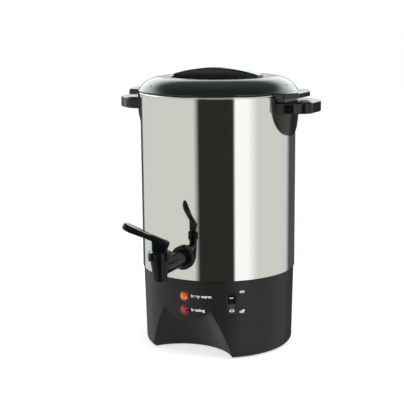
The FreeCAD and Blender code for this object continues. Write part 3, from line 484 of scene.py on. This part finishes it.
@functools.cache
def spun_aluminium():
    """Spun aluminium of pump and basket: pale grey with fine rings about the axis."""
    made, tree, shader = new_material("spun aluminium", {"Metallic": 1.0})
    clouded(tree, shader, "Base Color", 25 * MM, linear("#C6C7C9"), linear("#D2D3D4"))
    clouded(tree, shader, "Roughness", 15 * MM, 0.26, 0.36)
    place = add(tree, "ShaderNodeTexCoord").outputs["Object"]
    # The spinning tool leaves rings 0.2 mm apart, drawn at 1.2 mm so that they show.
    rings = add(tree, "ShaderNodeTexWave", {
        "Vector": place, "Scale": 1 / (1.2 * MM) / 20, "Distortion": 0.6, "Detail": 1.0},
        wave_type="RINGS", rings_direction="Z")
    bump = add(tree, "ShaderNodeBump", {"Height": rings.outputs[1], "Distance": 0.006 * MM})
    tree.links.new(bump.outputs[0], shader.inputs["Normal"])
    return made


@functools.cache
def brass():
    """Nickel-plated brass of the inlet's pins: warm bright metal."""
    made, tree, shader = new_material("nickel-plated brass", {"Metallic": 1.0})
    clouded(tree, shader, "Base Color", 3 * MM, linear("#C8BFA6"), linear("#D2CBB6"))
    clouded(tree, shader, "Roughness", 2 * MM, 0.18, 0.28)
    grained(tree, shader, 0.4 * MM, 0.004 * MM, stretch=(1.0, 12.0, 1.0))
    return made


@functools.cache
def ceramic():
    """Steatite and mica of the heater's insulation: chalky off-white."""
    made, tree, shader = new_material("steatite ceramic", {"IOR": 1.55})
    clouded(tree, shader, "Base Color", 6 * MM, linear("#C9C2B2"), linear("#DAD4C6"))
    clouded(tree, shader, "Roughness", 4 * MM, 0.55, 0.70)
    grained(tree, shader, 0.5 * MM, 0.02 * MM)
    return made


@functools.cache
def ink():
    """Two-part printing ink, pad-printed: flat white, a little chalky."""
    made, tree, shader = new_material("pad-printed ink", {"IOR": 1.5})
    clouded(tree, shader, "Base Color", 1.5 * MM, linear("#E6E6E2"), linear("#F2F2EE"))
    clouded(tree, shader, "Roughness", 2 * MM, 0.45, 0.60)
    grained(tree, shader, 0.3 * MM, 0.01 * MM)
    return made


def lens(name, node, core, patch, edge, dark, glow):
    """Coloured acrylic button, lit from behind: bright and mottled by prisms, and painted dark red at its
    rim for the shade of the gap round it and the lamp's reflection in the base.
    """
    centre = middle(node)
    radius = (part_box(node)[1].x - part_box(node)[0].x) / 2
    made, tree, shader = new_material(name, {
        "IOR": 1.49, "Roughness": 0.10, "Coat Weight": 0.2, "Coat Roughness": 0.1,
        "Emission Strength": glow})
    place = add(tree, "ShaderNodeTexCoord").outputs["Object"]
    # Prisms moulded inside the lens, 1.8 mm across.
    cells = add(tree, "ShaderNodeTexVoronoi", {"Vector": place, "Scale": 1 / (1.8 * MM)}, feature="F1")
    blots = add(tree, "ShaderNodeTexNoise", {"Vector": place, "Scale": 1 / (3.5 * MM), "Detail": 1.0})
    inner = ramp(add(tree, "ShaderNodeValToRGB", {0: blots.outputs[0]}),
                 [(0.36, linear(edge)), (0.5, linear(core)), (0.62, linear(patch))])
    centred = add(tree, "ShaderNodeMapping", {"Vector": place, "Location": [-c for c in centre]})
    flat = add(tree, "ShaderNodeSeparateXYZ", {0: centred.outputs[0]})
    across = add(tree, "ShaderNodeCombineXYZ", {"X": flat.outputs["X"], "Y": flat.outputs["Z"]})
    away = add(tree, "ShaderNodeVectorMath", {0: across.outputs[0]}, operation="LENGTH")
    away = add(tree, "ShaderNodeMath", {0: away.outputs["Value"], 1: radius}, operation="DIVIDE")
    mottled = add(tree, "ShaderNodeMath", {0: cells.outputs["Distance"], 1: 0.22, 2: away.outputs[0]},
                  operation="MULTIPLY_ADD")
    # Painted shade and painted reflection: towards the rim the colour goes to the dark one, for the shadow
    # of the gap round the lens and the lamp's dim reflection in the base.
    rim = add(tree, "ShaderNodeMapRange", {"Value": mottled.outputs[0], "From Min": 0.86, "From Max": 1.10},
              interpolation_type="SMOOTHSTEP")
    colours = add(tree, "ShaderNodeMix", {0: rim.outputs[0], 6: inner.outputs[0], 7: linear(dark)},
                  data_type="RGBA").outputs[2]
    tree.links.new(colours, shader.inputs["Base Color"])
    tree.links.new(colours, shader.inputs["Emission Color"])
    bump = add(tree, "ShaderNodeBump", {"Height": cells.outputs["Distance"], "Distance": 0.1 * MM})
    tree.links.new(bump.outputs[0], shader.inputs["Normal"])
    return made


# Settings that a user would change

class UrnSteel(bpy.types.PropertyGroup):
    """Tank wall."""
    segments: IntProperty(name="Segments", description="Faces round the tank wall", default=192, min=24)
    rim: FloatProperty(name="Rim bead", description="Radius of the rolled rim", default=rim_bead,
                       unit="LENGTH")


class UrnTap(bpy.types.PropertyGroup):
    """Tap's thumb lever."""
    slope: FloatProperty(name="Lever slope", description="Rise of the lever towards its tip",
                         default=math.radians(24.8), subtype="ANGLE")
    dish: FloatProperty(name="Dish", description="Depth of the hollow for the thumb", default=1.2 * MM,
                        unit="LENGTH")


class UrnLettering(bpy.types.PropertyGroup):
    """Words printed on the base."""
    upper: StringProperty(name="Upper lamp", description="Words beside the amber lamp", default="keep warm")
    lower: StringProperty(name="Lower lamp", description="Words beside the red lamp", default="heating")
    tall: FloatProperty(name="Letter height", description="Size of the lamps' words", default=5.3 * MM,
                        unit="LENGTH")
    switch_tall: FloatProperty(name="Switch letters", description="Size of the switch's words",
                               default=6.0 * MM, unit="LENGTH")


class UrnStudio(bpy.types.PropertyGroup):
    """Lights, floor and camera."""
    azimuth: FloatProperty(name="Camera azimuth", description="Camera's turn from the tap's side",
                           default=math.radians(25.9), subtype="ANGLE")
    distance: FloatProperty(name="Camera distance", description="From the tank's axis, level",
                            default=1.3394, unit="LENGTH")
    height: FloatProperty(name="Camera height", description="Above the table", default=0.4445, unit="LENGTH")
    lens: FloatProperty(name="Focal length", description="Lens of the camera in millimetres", default=90.64)
    floor: FloatVectorProperty(name="Floor", description="Colour of the floor", subtype="COLOR", size=4,
                               default=linear("#F2F2F0"), min=0.0, max=1.0)


# Pieces

class URN_OT_tank(bpy.types.Operator):
    """Make the tank's steel wall with its rolled rim, and finish its floor"""
    bl_idname = "urn.tank"
    bl_label = "Tank"

    def execute(self, context):
        settings = context.scene.urn_steel
        wall = tank_wall
        radius = tank_radius
        bead = settings.rim
        curl = radius + 0.3 * bead      # middle of the rolled bead
        seam = 8.0 * MM
        swell = 0.04 * MM
        points = [(radius - wall, tank_foot), (radius - 0.1 * MM, tank_foot)]
        steps = 8
        for i in range(steps + 1):
            share = i / steps
            points.append((radius + swell * math.sin(math.pi * share) ** 2, tank_foot + seam * share))
        points += arc((curl, tank_top), bead, -108, 200, 20)
        points.append((radius - wall, tank_top - bead))
        mesh = lathe(points, settings.segments, polished_steel())
        piece("tank_wall", mesh, "housing", replaces=["tank_shell"])
        finish_node("tank_bottom", mill_steel())
        return {"FINISHED"}


class URN_OT_base(bpy.types.Operator):
    """Finish the base, its cover, feet and screws"""
    bl_idname = "urn.base"
    bl_label = "Base"

    def execute(self, context):
        finish_node("base_shell", base_plastic())
        finish_node("bottom_cover", mill_steel())
        finish_node("centre_standoff", zinc_steel())
        low, high = solids("rubber_feet")[0]
        radius, tall = (high.x - low.x) / 2, high.z - low.z
        disc = 1.5 * MM
        peg = 2.4 * MM
        outline = [(0.0, -0.5 * MM), (0.25 * radius, -0.45 * MM), (0.42 * radius, 0.0), (0.86 * radius, 0.0),
                   (0.96 * radius, -0.12 * disc), (radius, -0.4 * disc), (radius, -disc), (peg, -disc),
                   (peg, -tall + 0.5 * MM), (peg - 0.5 * MM, -tall), (0.0, -tall)]
        mesh = fasteners("rubber_feet", down, outline, 40, rubber())
        piece("feet", mesh, "housing", replaces=["rubber_feet"])
        for name, node, shank in (("cover_screws_cross", "cover_screws", 1.4 * MM),
                                  ("centre_screw_cross", "centre_screw", 1.9 * MM)):
            low, high = solids(node)[0]
            radius, tall = (high.x - low.x) / 2, high.z - low.z
            outline = screw_outline(radius, 1.4 * MM, shank, tall, 0.9 * MM)
            mesh = fasteners(node, down, outline, 28, zinc_steel(),
                             (0.34 * radius, 1.25 * radius, 0.9 * MM))
            piece(name, mesh, "housing", replaces=[node])
        return {"FINISHED"}


def surface_of(node):
    """Finds points on the outside of a CAD node."""
    work = bmesh.new()
    work.from_mesh(merged(node))
    tree = BVHTree.FromBMesh(work)
    work.free()
    return tree


def on_wall(tree, azimuth, height, proud):
    """Point on a wall round the tank's axis at an azimuth and height, standing a little proud of it."""
    out = Vector((math.sin(azimuth), -math.cos(azimuth), 0.0))
    start = out * 2 * tank_radius + Vector((0, 0, height))
    return tree.ray_cast(start, -out)[0] + out * proud


def printed(word, azimuth, height, tall, surface, wide=1.0, turn=0.0, align="LEFT"):
    """Word printed on a surface, its left end or middle at an azimuth and its foot at a height."""
    curve = bpy.data.curves.new("word", "FONT")
    curve.body = word
    curve.size = tall
    curve.align_x = align
    curve.offset = 0.035 * tall
    curve.space_character = 1.06
    curve.extrude = 0.03 * MM
    source = bpy.data.objects.new("word", curve)
    bpy.context.scene.collection.objects.link(source)
    bpy.context.view_layer.update()
    mesh = bpy.data.meshes.new_from_object(source.evaluated_get(bpy.context.evaluated_depsgraph_get()))
    bpy.data.objects.remove(source)
    for vertex in mesh.vertices:
        x, y, z = Matrix.Rotation(turn, 3, "Z") @ vertex.co
        vertex.co = on_wall(surface, azimuth + wide * x / tank_radius, height + y, 0.04 * MM + z)
    return mesh


def joined(meshes):
    """One mesh from several."""
    work = bmesh.new()
    for mesh in meshes:
        work.from_mesh(mesh)
    bmesh.ops.remove_doubles(work, verts=work.verts, dist=1e-7)
    result = bpy.data.meshes.new("joined")
    work.to_mesh(result)
    work.free()
    return result


def collar(node, material):
    """Narrow rounded flange of a lamp's lens, lying on the base round the dome."""
    low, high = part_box(node)
    radius = (high.x - low.x) / 2
    inner, outer = radius - 0.3 * MM, radius + 2.0 * MM
    outline = [(inner, -0.5 * MM), (outer, -0.5 * MM), (outer, 0.15 * MM),
               (outer - 0.2 * MM, 0.22 * MM), (inner, 0.5 * MM)]
    mesh = lathe(outline, 48, material)
    spot = on_wall(surface_of("base_shell"), 0.0, middle(node).z + outer, 0.0)
    out = Matrix.Rotation(math.radians(90), 4, "X")
    mesh.transform(Matrix.Translation((0.0, spot.y, middle(node).z)) @ out)
    return mesh


class URN_OT_controls(bpy.types.Operator):
    """Make the lettering and the switch's marks, and finish the lamps, switch and inlet"""
    bl_idname = "urn.controls"
    bl_label = "Controls"

    def execute(self, context):
        settings = context.scene.urn_lettering
        surface = surface_of("base_shell")
        upper, lower = middle("amber_lamp").z, middle("red_lamp").z
        switch = middle("switch_frame")
        turn = math.atan2(switch.x, -switch.y)
        start = math.radians(5.1)           # left ends of the lamps' words
        drop = 0.24 * settings.tall         # from a lamp's middle to its words' foot
        side = turn + math.radians(5.4)     # left ends of the switch's words
        words = [
            printed(settings.upper, start, upper - drop + 0.5 * MM, settings.tall, surface, wide=1.08),
            printed(settings.lower, start, lower - drop + 0.6 * MM, settings.tall, surface, wide=1.12),
            printed("on", side, switch.z + 14.8 * MM, settings.switch_tall, surface),
            printed("off", side, switch.z - 11.6 * MM, settings.switch_tall, surface),
        ]
        piece("printed_words", joined(words), "housing", ink())
        rocker = surface_of("switch_rocker")
        marks = [
            printed("I", turn - math.radians(1.8), switch.z + 9.4 * MM, 6.4 * MM, rocker,
                    turn=math.radians(-90)),
            printed("O", turn - math.radians(0.6), switch.z - 8.8 * MM, 4.2 * MM, rocker, wide=1.75,
                    align="CENTER"),
        ]
        piece("rocker_marks", joined(marks), "rocker", ink())
        # Each lens's last colour is its painted rim: the shade of the gap round it and the lamp's reflection
        # in the base.
        amber = lens("amber acrylic", "amber_lamp", "#C85A26", "#DC8650", "#98401C", "#451610", 0.40)
        red = lens("red acrylic", "red_lamp", "#8E182A", "#A82A3E", "#5C0E18", "#380C14", 0.20)
        finish_node("amber_lamp", amber)
        finish_node("red_lamp", red)
        # The collars wear the lens colours, so they show the painted dark rim, a ring of painted shade and
        # painted reflection that glows dimly on the base round each lamp.
        piece("amber_collar", collar("amber_lamp", amber), "housing")
        piece("red_collar", collar("red_lamp", red), "housing")
        finish_node("lamp_bodies", ceramic())
        finish_node("switch_frame", nylon())
        finish_node("switch_rocker", polycarbonate())
        finish_node("power_inlet", nylon())
        finish_node("inlet_pins", brass())
        return {"FINISHED"}


def joint(name):
    """Place and axis of a joint."""
    for found in frame["record"]["behaviour"]["joints"]:
        if found["name"] == name:
            return Vector(found["pos_m"]), Vector(found["axis"])
    raise ValueError(name)


def eased(value, start, end):
    """Smooth step from 0 at the start to 1 at the end."""
    share = min(1.0, max(0.0, (value - start) / (end - start)))
    return share * share * (3 - 2 * share)


def ring(half_y, half_z, power, count):
    """Closed ring of (y, z) points of a rounded rectangle."""
    points = []
    for i in range(count):
        a = math.tau * (i + 0.5) / count
        c, s = math.cos(a), math.sin(a)
        points.append((math.copysign(abs(c) ** (2 / power), c) * half_y,
                       math.copysign(abs(s) ** (2 / power), s) * half_z))
    return points


def skinned(work, rings):
    """Faces between rings of points, and a face over each end ring."""
    loops = [[work.verts.new(p) for p in points] for points in rings]
    for one, other in zip(loops, loops[1:]):
        for i in range(len(one)):
            work.faces.new((one[i - 1], one[i], other[i], other[i - 1]))
    work.faces.new(loops[0])
    work.faces.new(reversed(loops[-1]))


def lever_mesh(slope, dish):
    """Thumb lever: a waisted paddle with a dished top, on a neck with a slot for the stem."""
    pin, across = joint("lever_tilt")
    along, up = Vector((across.y, -across.x, 0.0)), Vector((0.0, 0.0, 1.0))
    reaches = [(v.co - pin).dot(along) for v in cad["tap_lever"].data.vertices]
    heights = [(v.co - pin).dot(up) for v in cad["tap_lever"].data.vertices]
    sine, cosine = math.sin(slope), math.cos(slope)
    start, end = min(reaches) / cosine + 1.4 * MM, max(reaches) / cosine - 1.5 * MM
    rise = max(heights) - end * sine - 0.4 * MM
    heel_round, nose_round = 1.4 * MM, 9.2 * MM
    steps = 60
    rings = []
    for i in range(steps + 1):
        share = 0.5 - 0.5 * math.cos(math.pi * i / steps)
        u = start + (end - start) * share
        half = (7.4 - 0.5 * eased(share, 0.05, 0.35) + 2.6 * eased(share, 0.35, 0.80)) * MM
        thick = (3.6 + 1.0 * eased(share, 0.45, 0.85)) * MM
        heel = min(1.0, (u - start) / heel_round)
        heel = heel_round * (1 - math.sqrt(1 - (1 - heel) ** 2))
        nose = min(1.0, (end - u) / nose_round)
        nose = math.sqrt(1 - (1 - nose) ** 2)
        wide = max(0.4 * MM, (half - heel) * nose)
        tall = max(0.3 * MM, (thick - heel) * nose ** 0.4)
        deep = dish * eased(share, 0.36, 0.56) * (1 - eased(share, 0.88, 0.97))
        points = []
        for y, z in ring(wide, tall, 3.6, 56):
            if z > 0:
                z -= deep * max(0.0, 1 - (y / (0.86 * wide)) ** 2) ** 1.4
            points.append(pin + along * (u * cosine - z * sine) + across * y
                          + up * (rise + u * sine + z * cosine))
        rings.append(points)
    work = bmesh.new()
    skinned(work, rings)
    foot, slot_top = min(heights), 4.1 * MM
    length = max(r for r, h in zip(reaches, heights) if h < foot + 2.0 * MM)

    def level(half_x, half_y, power, z):
        return [pin + along * x + across * y + up * z for x, y in ring(half_x, half_y, power, 48)]

    slot_x, slot_y, neck_y, chamfer = 5.6 * MM, 2.75 * MM, 7.0 * MM, 0.5 * MM
    skinned(work, [
        level(slot_x, slot_y, 5.0, slot_top), level(slot_x, slot_y, 5.0, foot),
        level(length - chamfer, neck_y - chamfer, 6.0, foot), level(length, neck_y, 6.0, foot + chamfer),
        level(length, neck_y, 6.0, rise)])
    bmesh.ops.recalc_face_normals(work, faces=work.faces)
    mesh = bpy.data.meshes.new("lever")
    work.to_mesh(mesh)
    work.free()
    smooth(mesh)
    return mesh


class URN_OT_tap(bpy.types.Operator):
    """Make the tap's lever and finish the tap"""
    bl_idname = "urn.tap"
    bl_label = "Tap"

    def execute(self, context):
        settings = context.scene.urn_tap
        for node in ("tap_body", "tap_bonnet", "cam_washer", "tap_nut"):
            finish_node(node, acetal())
        piece("thumb_lever", lever_mesh(settings.slope, settings.dish), "lever", acetal(),
              replaces=["tap_lever"])
        for node in ("tap_gasket", "tap_inner_gasket"):
            finish_node(node, rubber())
        finish_node("seat_cup", silicone())
        for node in ("valve_stem", "lever_pin"):
            finish_node(node, zinc_steel())
        return {"FINISHED"}


class URN_OT_handles(bpy.types.Operator):
    """Finish the handles and their screws"""
    bl_idname = "urn.handles"
    bl_label = "Handles"

    def execute(self, context):
        finish_node("handle_right", phenolic())
        finish_node("handle_left", phenolic())

        def inward(centre):
            return Vector((-math.copysign(1.0, centre.x), 0.0, 0.0))

        low, high = solids("handle_screws")[0]
        radius, length = (high.z - low.z) / 2, high.x - low.x
        outline = screw_outline(radius, 2.4 * MM, 2.0 * MM, length, 1.0 * MM)
        mesh = fasteners("handle_screws", inward, outline, 32, zinc_steel(),
                         (0.3 * radius, 1.2 * radius, 1.1 * MM))
        piece("handle_screws_cross", mesh, "housing", replaces=["handle_screws"])
        return {"FINISHED"}


class URN_OT_lid(bpy.types.Operator):
    """Finish the lid, its grip, seal and screws"""
    bl_idname = "urn.lid"
    bl_label = "Lid"

    def execute(self, context):
        finish_node("lid_shell", lid_plastic())
        finish_node("lid_grip", lid_plastic())
        finish_node("lid_seal", silicone())
        low, high = solids("grip_screws")[0]
        radius, length = (high.x - low.x) / 2, high.z - low.z
        outline = screw_outline(radius, 1.4 * MM, 1.5 * MM, length, 0.9 * MM)
        mesh = fasteners("grip_screws", down, outline, 28, zinc_steel(),
                         (0.34 * radius, 1.25 * radius, 0.9 * MM))
        piece("grip_screws_cross", mesh, "lid", replaces=["grip_screws"])
        return {"FINISHED"}


class URN_OT_brewer(bpy.types.Operator):
    """Finish the pump and basket, and the heater under the tank"""
    bl_idname = "urn.brewer"
    bl_label = "Pump, basket and heater"

    def execute(self, context):
        for node in ("pump_tube", "pump_collar", "pump_foot", "basket_floor", "basket_hub",
                     "coffee_basket", "basket_lid"):
            finish_node(node, spun_aluminium())
        finish_node("heating_element", mill_steel())
        for node in ("keep_warm_heater", "thermostat", "thermal_fuse"):
            finish_node(node, ceramic())
        return {"FINISHED"}


# Studio

def panels(tree, share, stops):
    """Ring of panels about the tank, from (azimuth from the camera, colour) stops."""
    return ramp(add(tree, "ShaderNodeValToRGB", {0: share}),
                [(a / 360 + 0.5, linear(c)) for a, c in stops]).outputs[0]


def studio_world(azimuth):
    """White to the camera, even light on matt surfaces, and soft panels and flags for the steel."""
    world = bpy.data.worlds.new("studio")
    bpy.context.scene.world = world
    world.use_nodes = True
    tree = world.node_tree
    tree.nodes.clear()
    path = add(tree, "ShaderNodeLightPath").outputs
    direction = add(tree, "ShaderNodeTexCoord").outputs["Generated"]
    turned = add(tree, "ShaderNodeVectorRotate", {"Vector": direction, "Angle": -azimuth},
                 rotation_type="Z_AXIS")
    axes = add(tree, "ShaderNodeSeparateXYZ", {0: turned.outputs[0]}).outputs
    back = add(tree, "ShaderNodeMath", {0: axes["Y"], 1: -1.0}, operation="MULTIPLY")
    angle = add(tree, "ShaderNodeMath", {0: axes["X"], 1: back.outputs[0]}, operation="ARCTAN2")
    share = add(tree, "ShaderNodeMath", {0: angle.outputs[0], 1: 1 / math.tau, 2: 0.5},
                operation="MULTIPLY_ADD").outputs[0]
    # Round the tank at its own height: dark room, light wall, black flag, softbox, light wall, dark room.
    # The walls' far ends catch a little daylight.
    room, daylit, pale, flag, softbox = "#4A4C4A", "#C2C8C8", "#CBCBC5", "#282A26", "#FAFAF8"
    wall = panels(tree, share, [
        (-180, room), (-152, room), (-148, daylit), (-100, pale), (-36, pale), (-28, flag), (22, flag),
        (25, softbox), (44, softbox), (60, pale), (100, pale), (120, daylit), (131, room), (180, room)])
    # Above it: a dim softbox over the camera and white paper behind the tank, drawn at a third.
    far, paper, grey, dim, dark, box = "#B8BEBD", "#F4FAF9", "#8E9290", "#424544", "#262827", "#888A88"
    above = panels(tree, share, [
        (-180, far), (-142, paper), (-112, paper), (-90, grey), (-64, dim), (-46, dark), (-34, box),
        (30, box), (42, dark), (70, dim), (96, grey), (112, paper), (142, paper), (180, far)])
    above = add(tree, "ShaderNodeVectorMath", {0: above, "Scale": 3.0}, operation="SCALE").outputs[0]
    ceiling = panels(tree, share, [
        (-180, "#8A8E8C"), (-120, "#6A6E6C"), (-80, "#1E2020"), (80, "#1E2020"), (120, "#6A6E6C"),
        (180, "#8A8E8C")])
    seen = wall
    below = linear("#A6A8A5")
    # Each takes over between two slopes of the ray.
    for colour, start, end in ((above, 0.02, 0.16), (ceiling, 0.42, 0.68), (below, -0.55, -0.90)):
        share = add(tree, "ShaderNodeMapRange", {"Value": axes["Z"], "From Min": start, "From Max": end},
                    interpolation_type="SMOOTHSTEP")
        seen = add(tree, "ShaderNodeMix", {0: share.outputs[0], 6: seen, 7: colour},
                   data_type="RGBA").outputs[2]
    # The steel gives back about 0.78 of what it sees, so the panels are brighter by that share.
    steel_gain = 1.28
    mirrored = add(tree, "ShaderNodeBackground", {"Color": seen, "Strength": steel_gain})
    even = add(tree, "ShaderNodeBackground", {"Color": linear("#FFFFFF"), "Strength": 0.48})
    white = add(tree, "ShaderNodeBackground", {"Color": linear("#FFFFFF"), "Strength": 1.0})
    mix = add(tree, "ShaderNodeMixShader", {
        0: path["Is Glossy Ray"], 1: even.outputs[0], 2: mirrored.outputs[0]})
    mix = add(tree, "ShaderNodeMixShader", {
        0: path["Is Camera Ray"], 1: mix.outputs[0], 2: white.outputs[0]})
    add(tree, "ShaderNodeOutputWorld", {"Surface": mix.outputs[0]})


def floor_material(colour):
    """Seamless paper sweep: matt off-white that the camera sees as white outside the shadow."""
    made, tree, shader = new_material("seamless paper", {"Base Color": colour, "Roughness": 0.9})
    grained(tree, shader, 2 * MM, 0.02 * MM)
    path = add(tree, "ShaderNodeLightPath").outputs
    glow = add(tree, "ShaderNodeMath", {0: path["Is Camera Ray"], 1: 0.56}, operation="MULTIPLY")
    tree.links.new(glow.outputs[0], shader.inputs["Emission Strength"])
    shader.inputs["Emission Color"].default_value = linear("#FFFFFF")
    return made


def camera_turn(azimuth):
    """Turn of the camera, from its pitch, yaw and roll as fitted to the photograph."""
    pitch, yaw, roll = 0.1896, -0.0165, -0.0092
    ahead = Vector((math.sin(yaw) * math.cos(pitch), math.cos(yaw) * math.cos(pitch), -math.sin(pitch)))
    right = Vector((math.cos(yaw), -math.sin(yaw), 0.0))
    up = right.cross(ahead)
    level = Matrix((right * math.cos(roll) + up * math.sin(roll),
                    up * math.cos(roll) - right * math.sin(roll), -ahead)).transposed()
    return Matrix.Rotation(azimuth, 3, "Z") @ level


class URN_OT_studio(bpy.types.Operator):
    """Make the floor, lights, world and camera"""
    bl_idname = "urn.studio"
    bl_label = "Studio"

    def execute(self, context):
        settings = context.scene.urn_studio
        scene = context.scene
        scene.view_settings.view_transform = "Standard"
        studio_world(settings.azimuth)
        half = 4.0          # half the floor's width
        aim_height = 0.18   # the lamps point at the middle of the urn
        mesh = bpy.data.meshes.new("floor")
        mesh.from_pydata([(-half, -half, 0), (half, -half, 0), (half, half, 0), (-half, half, 0)], [],
                         [(0, 1, 2, 3)])
        mesh.materials.append(floor_material(settings.floor))
        floor = bpy.data.objects.new("floor", mesh)
        scene.collection.objects.link(floor)
        floor.visible_glossy = False
        # Degrees from the camera, then metres, and watts.
        for name, azimuth, height, distance, size, power in (
                ("key", 60, 1.3, 1.5, 1.0, 9.0), ("fill", -40, 1.0, 1.6, 1.0, 7.0),
                ("front", 4, 0.35, 1.6, 0.8, 6.0)):
            lamp = bpy.data.lights.new(name, "AREA")
            lamp.energy = power
            lamp.size = size
            light = bpy.data.objects.new(name, lamp)
            scene.collection.objects.link(light)
            a = settings.azimuth + math.radians(azimuth)
            light.location = (distance * math.sin(a), -distance * math.cos(a), height)
            aim = Vector((0, 0, aim_height)) - light.location
            light.rotation_euler = aim.to_track_quat("-Z", "Y").to_euler()
            light.visible_glossy = False
        lens = bpy.data.cameras.new("camera")
        lens.sensor_fit = "HORIZONTAL"
        lens.sensor_width = 36.0
        lens.lens = settings.lens
        lens.clip_start, lens.clip_end = 0.05, 20.0
        camera = bpy.data.objects.new("camera", lens)
        scene.collection.objects.link(camera)
        turn = camera_turn(settings.azimuth)
        spot = (settings.distance * math.sin(settings.azimuth),
                -settings.distance * math.cos(settings.azimuth), settings.height)
        camera.matrix_world = Matrix.Translation(spot) @ turn.to_4x4()
        scene.camera = camera
        return {"FINISHED"}


class URN_PT_panel(bpy.types.Panel):
    """Sizes, words and studio of the urn, and a button for each of its parts"""
    bl_idname = "URN_PT_panel"
    bl_label = "Coffee urn"
    bl_space_type = "VIEW_3D"
    bl_region_type = "UI"
    bl_category = "Coffee urn"

    def draw(self, context):
        for title in groups:
            group = getattr(context.scene, title)
            for name in group.__annotations__:
                self.layout.prop(group, name)
        for operator in operators:
            self.layout.operator(operator.bl_idname)


groups = {"urn_steel": UrnSteel, "urn_tap": UrnTap, "urn_lettering": UrnLettering, "urn_studio": UrnStudio}
operators = (URN_OT_tank, URN_OT_base, URN_OT_controls, URN_OT_tap, URN_OT_handles, URN_OT_lid,
             URN_OT_brewer, URN_OT_studio)


def register():
    """Add the classes and settings."""
    for kind in (*groups.values(), *operators, URN_PT_panel):
        bpy.utils.register_class(kind)
    for name, kind in groups.items():
        setattr(bpy.types.Scene, name, PointerProperty(type=kind))


def unregister():
    """Take the classes and settings away."""
    for name in groups:
        delattr(bpy.types.Scene, name)
    for kind in reversed((*groups.values(), *operators, URN_PT_panel)):
        bpy.utils.unregister_class(kind)


def main():
    """Make every piece in order."""
    register()
    for operator in operators:
        getattr(bpy.ops.urn, operator.bl_idname.split(".")[1])()


if __name__ == "__main__":
    main()
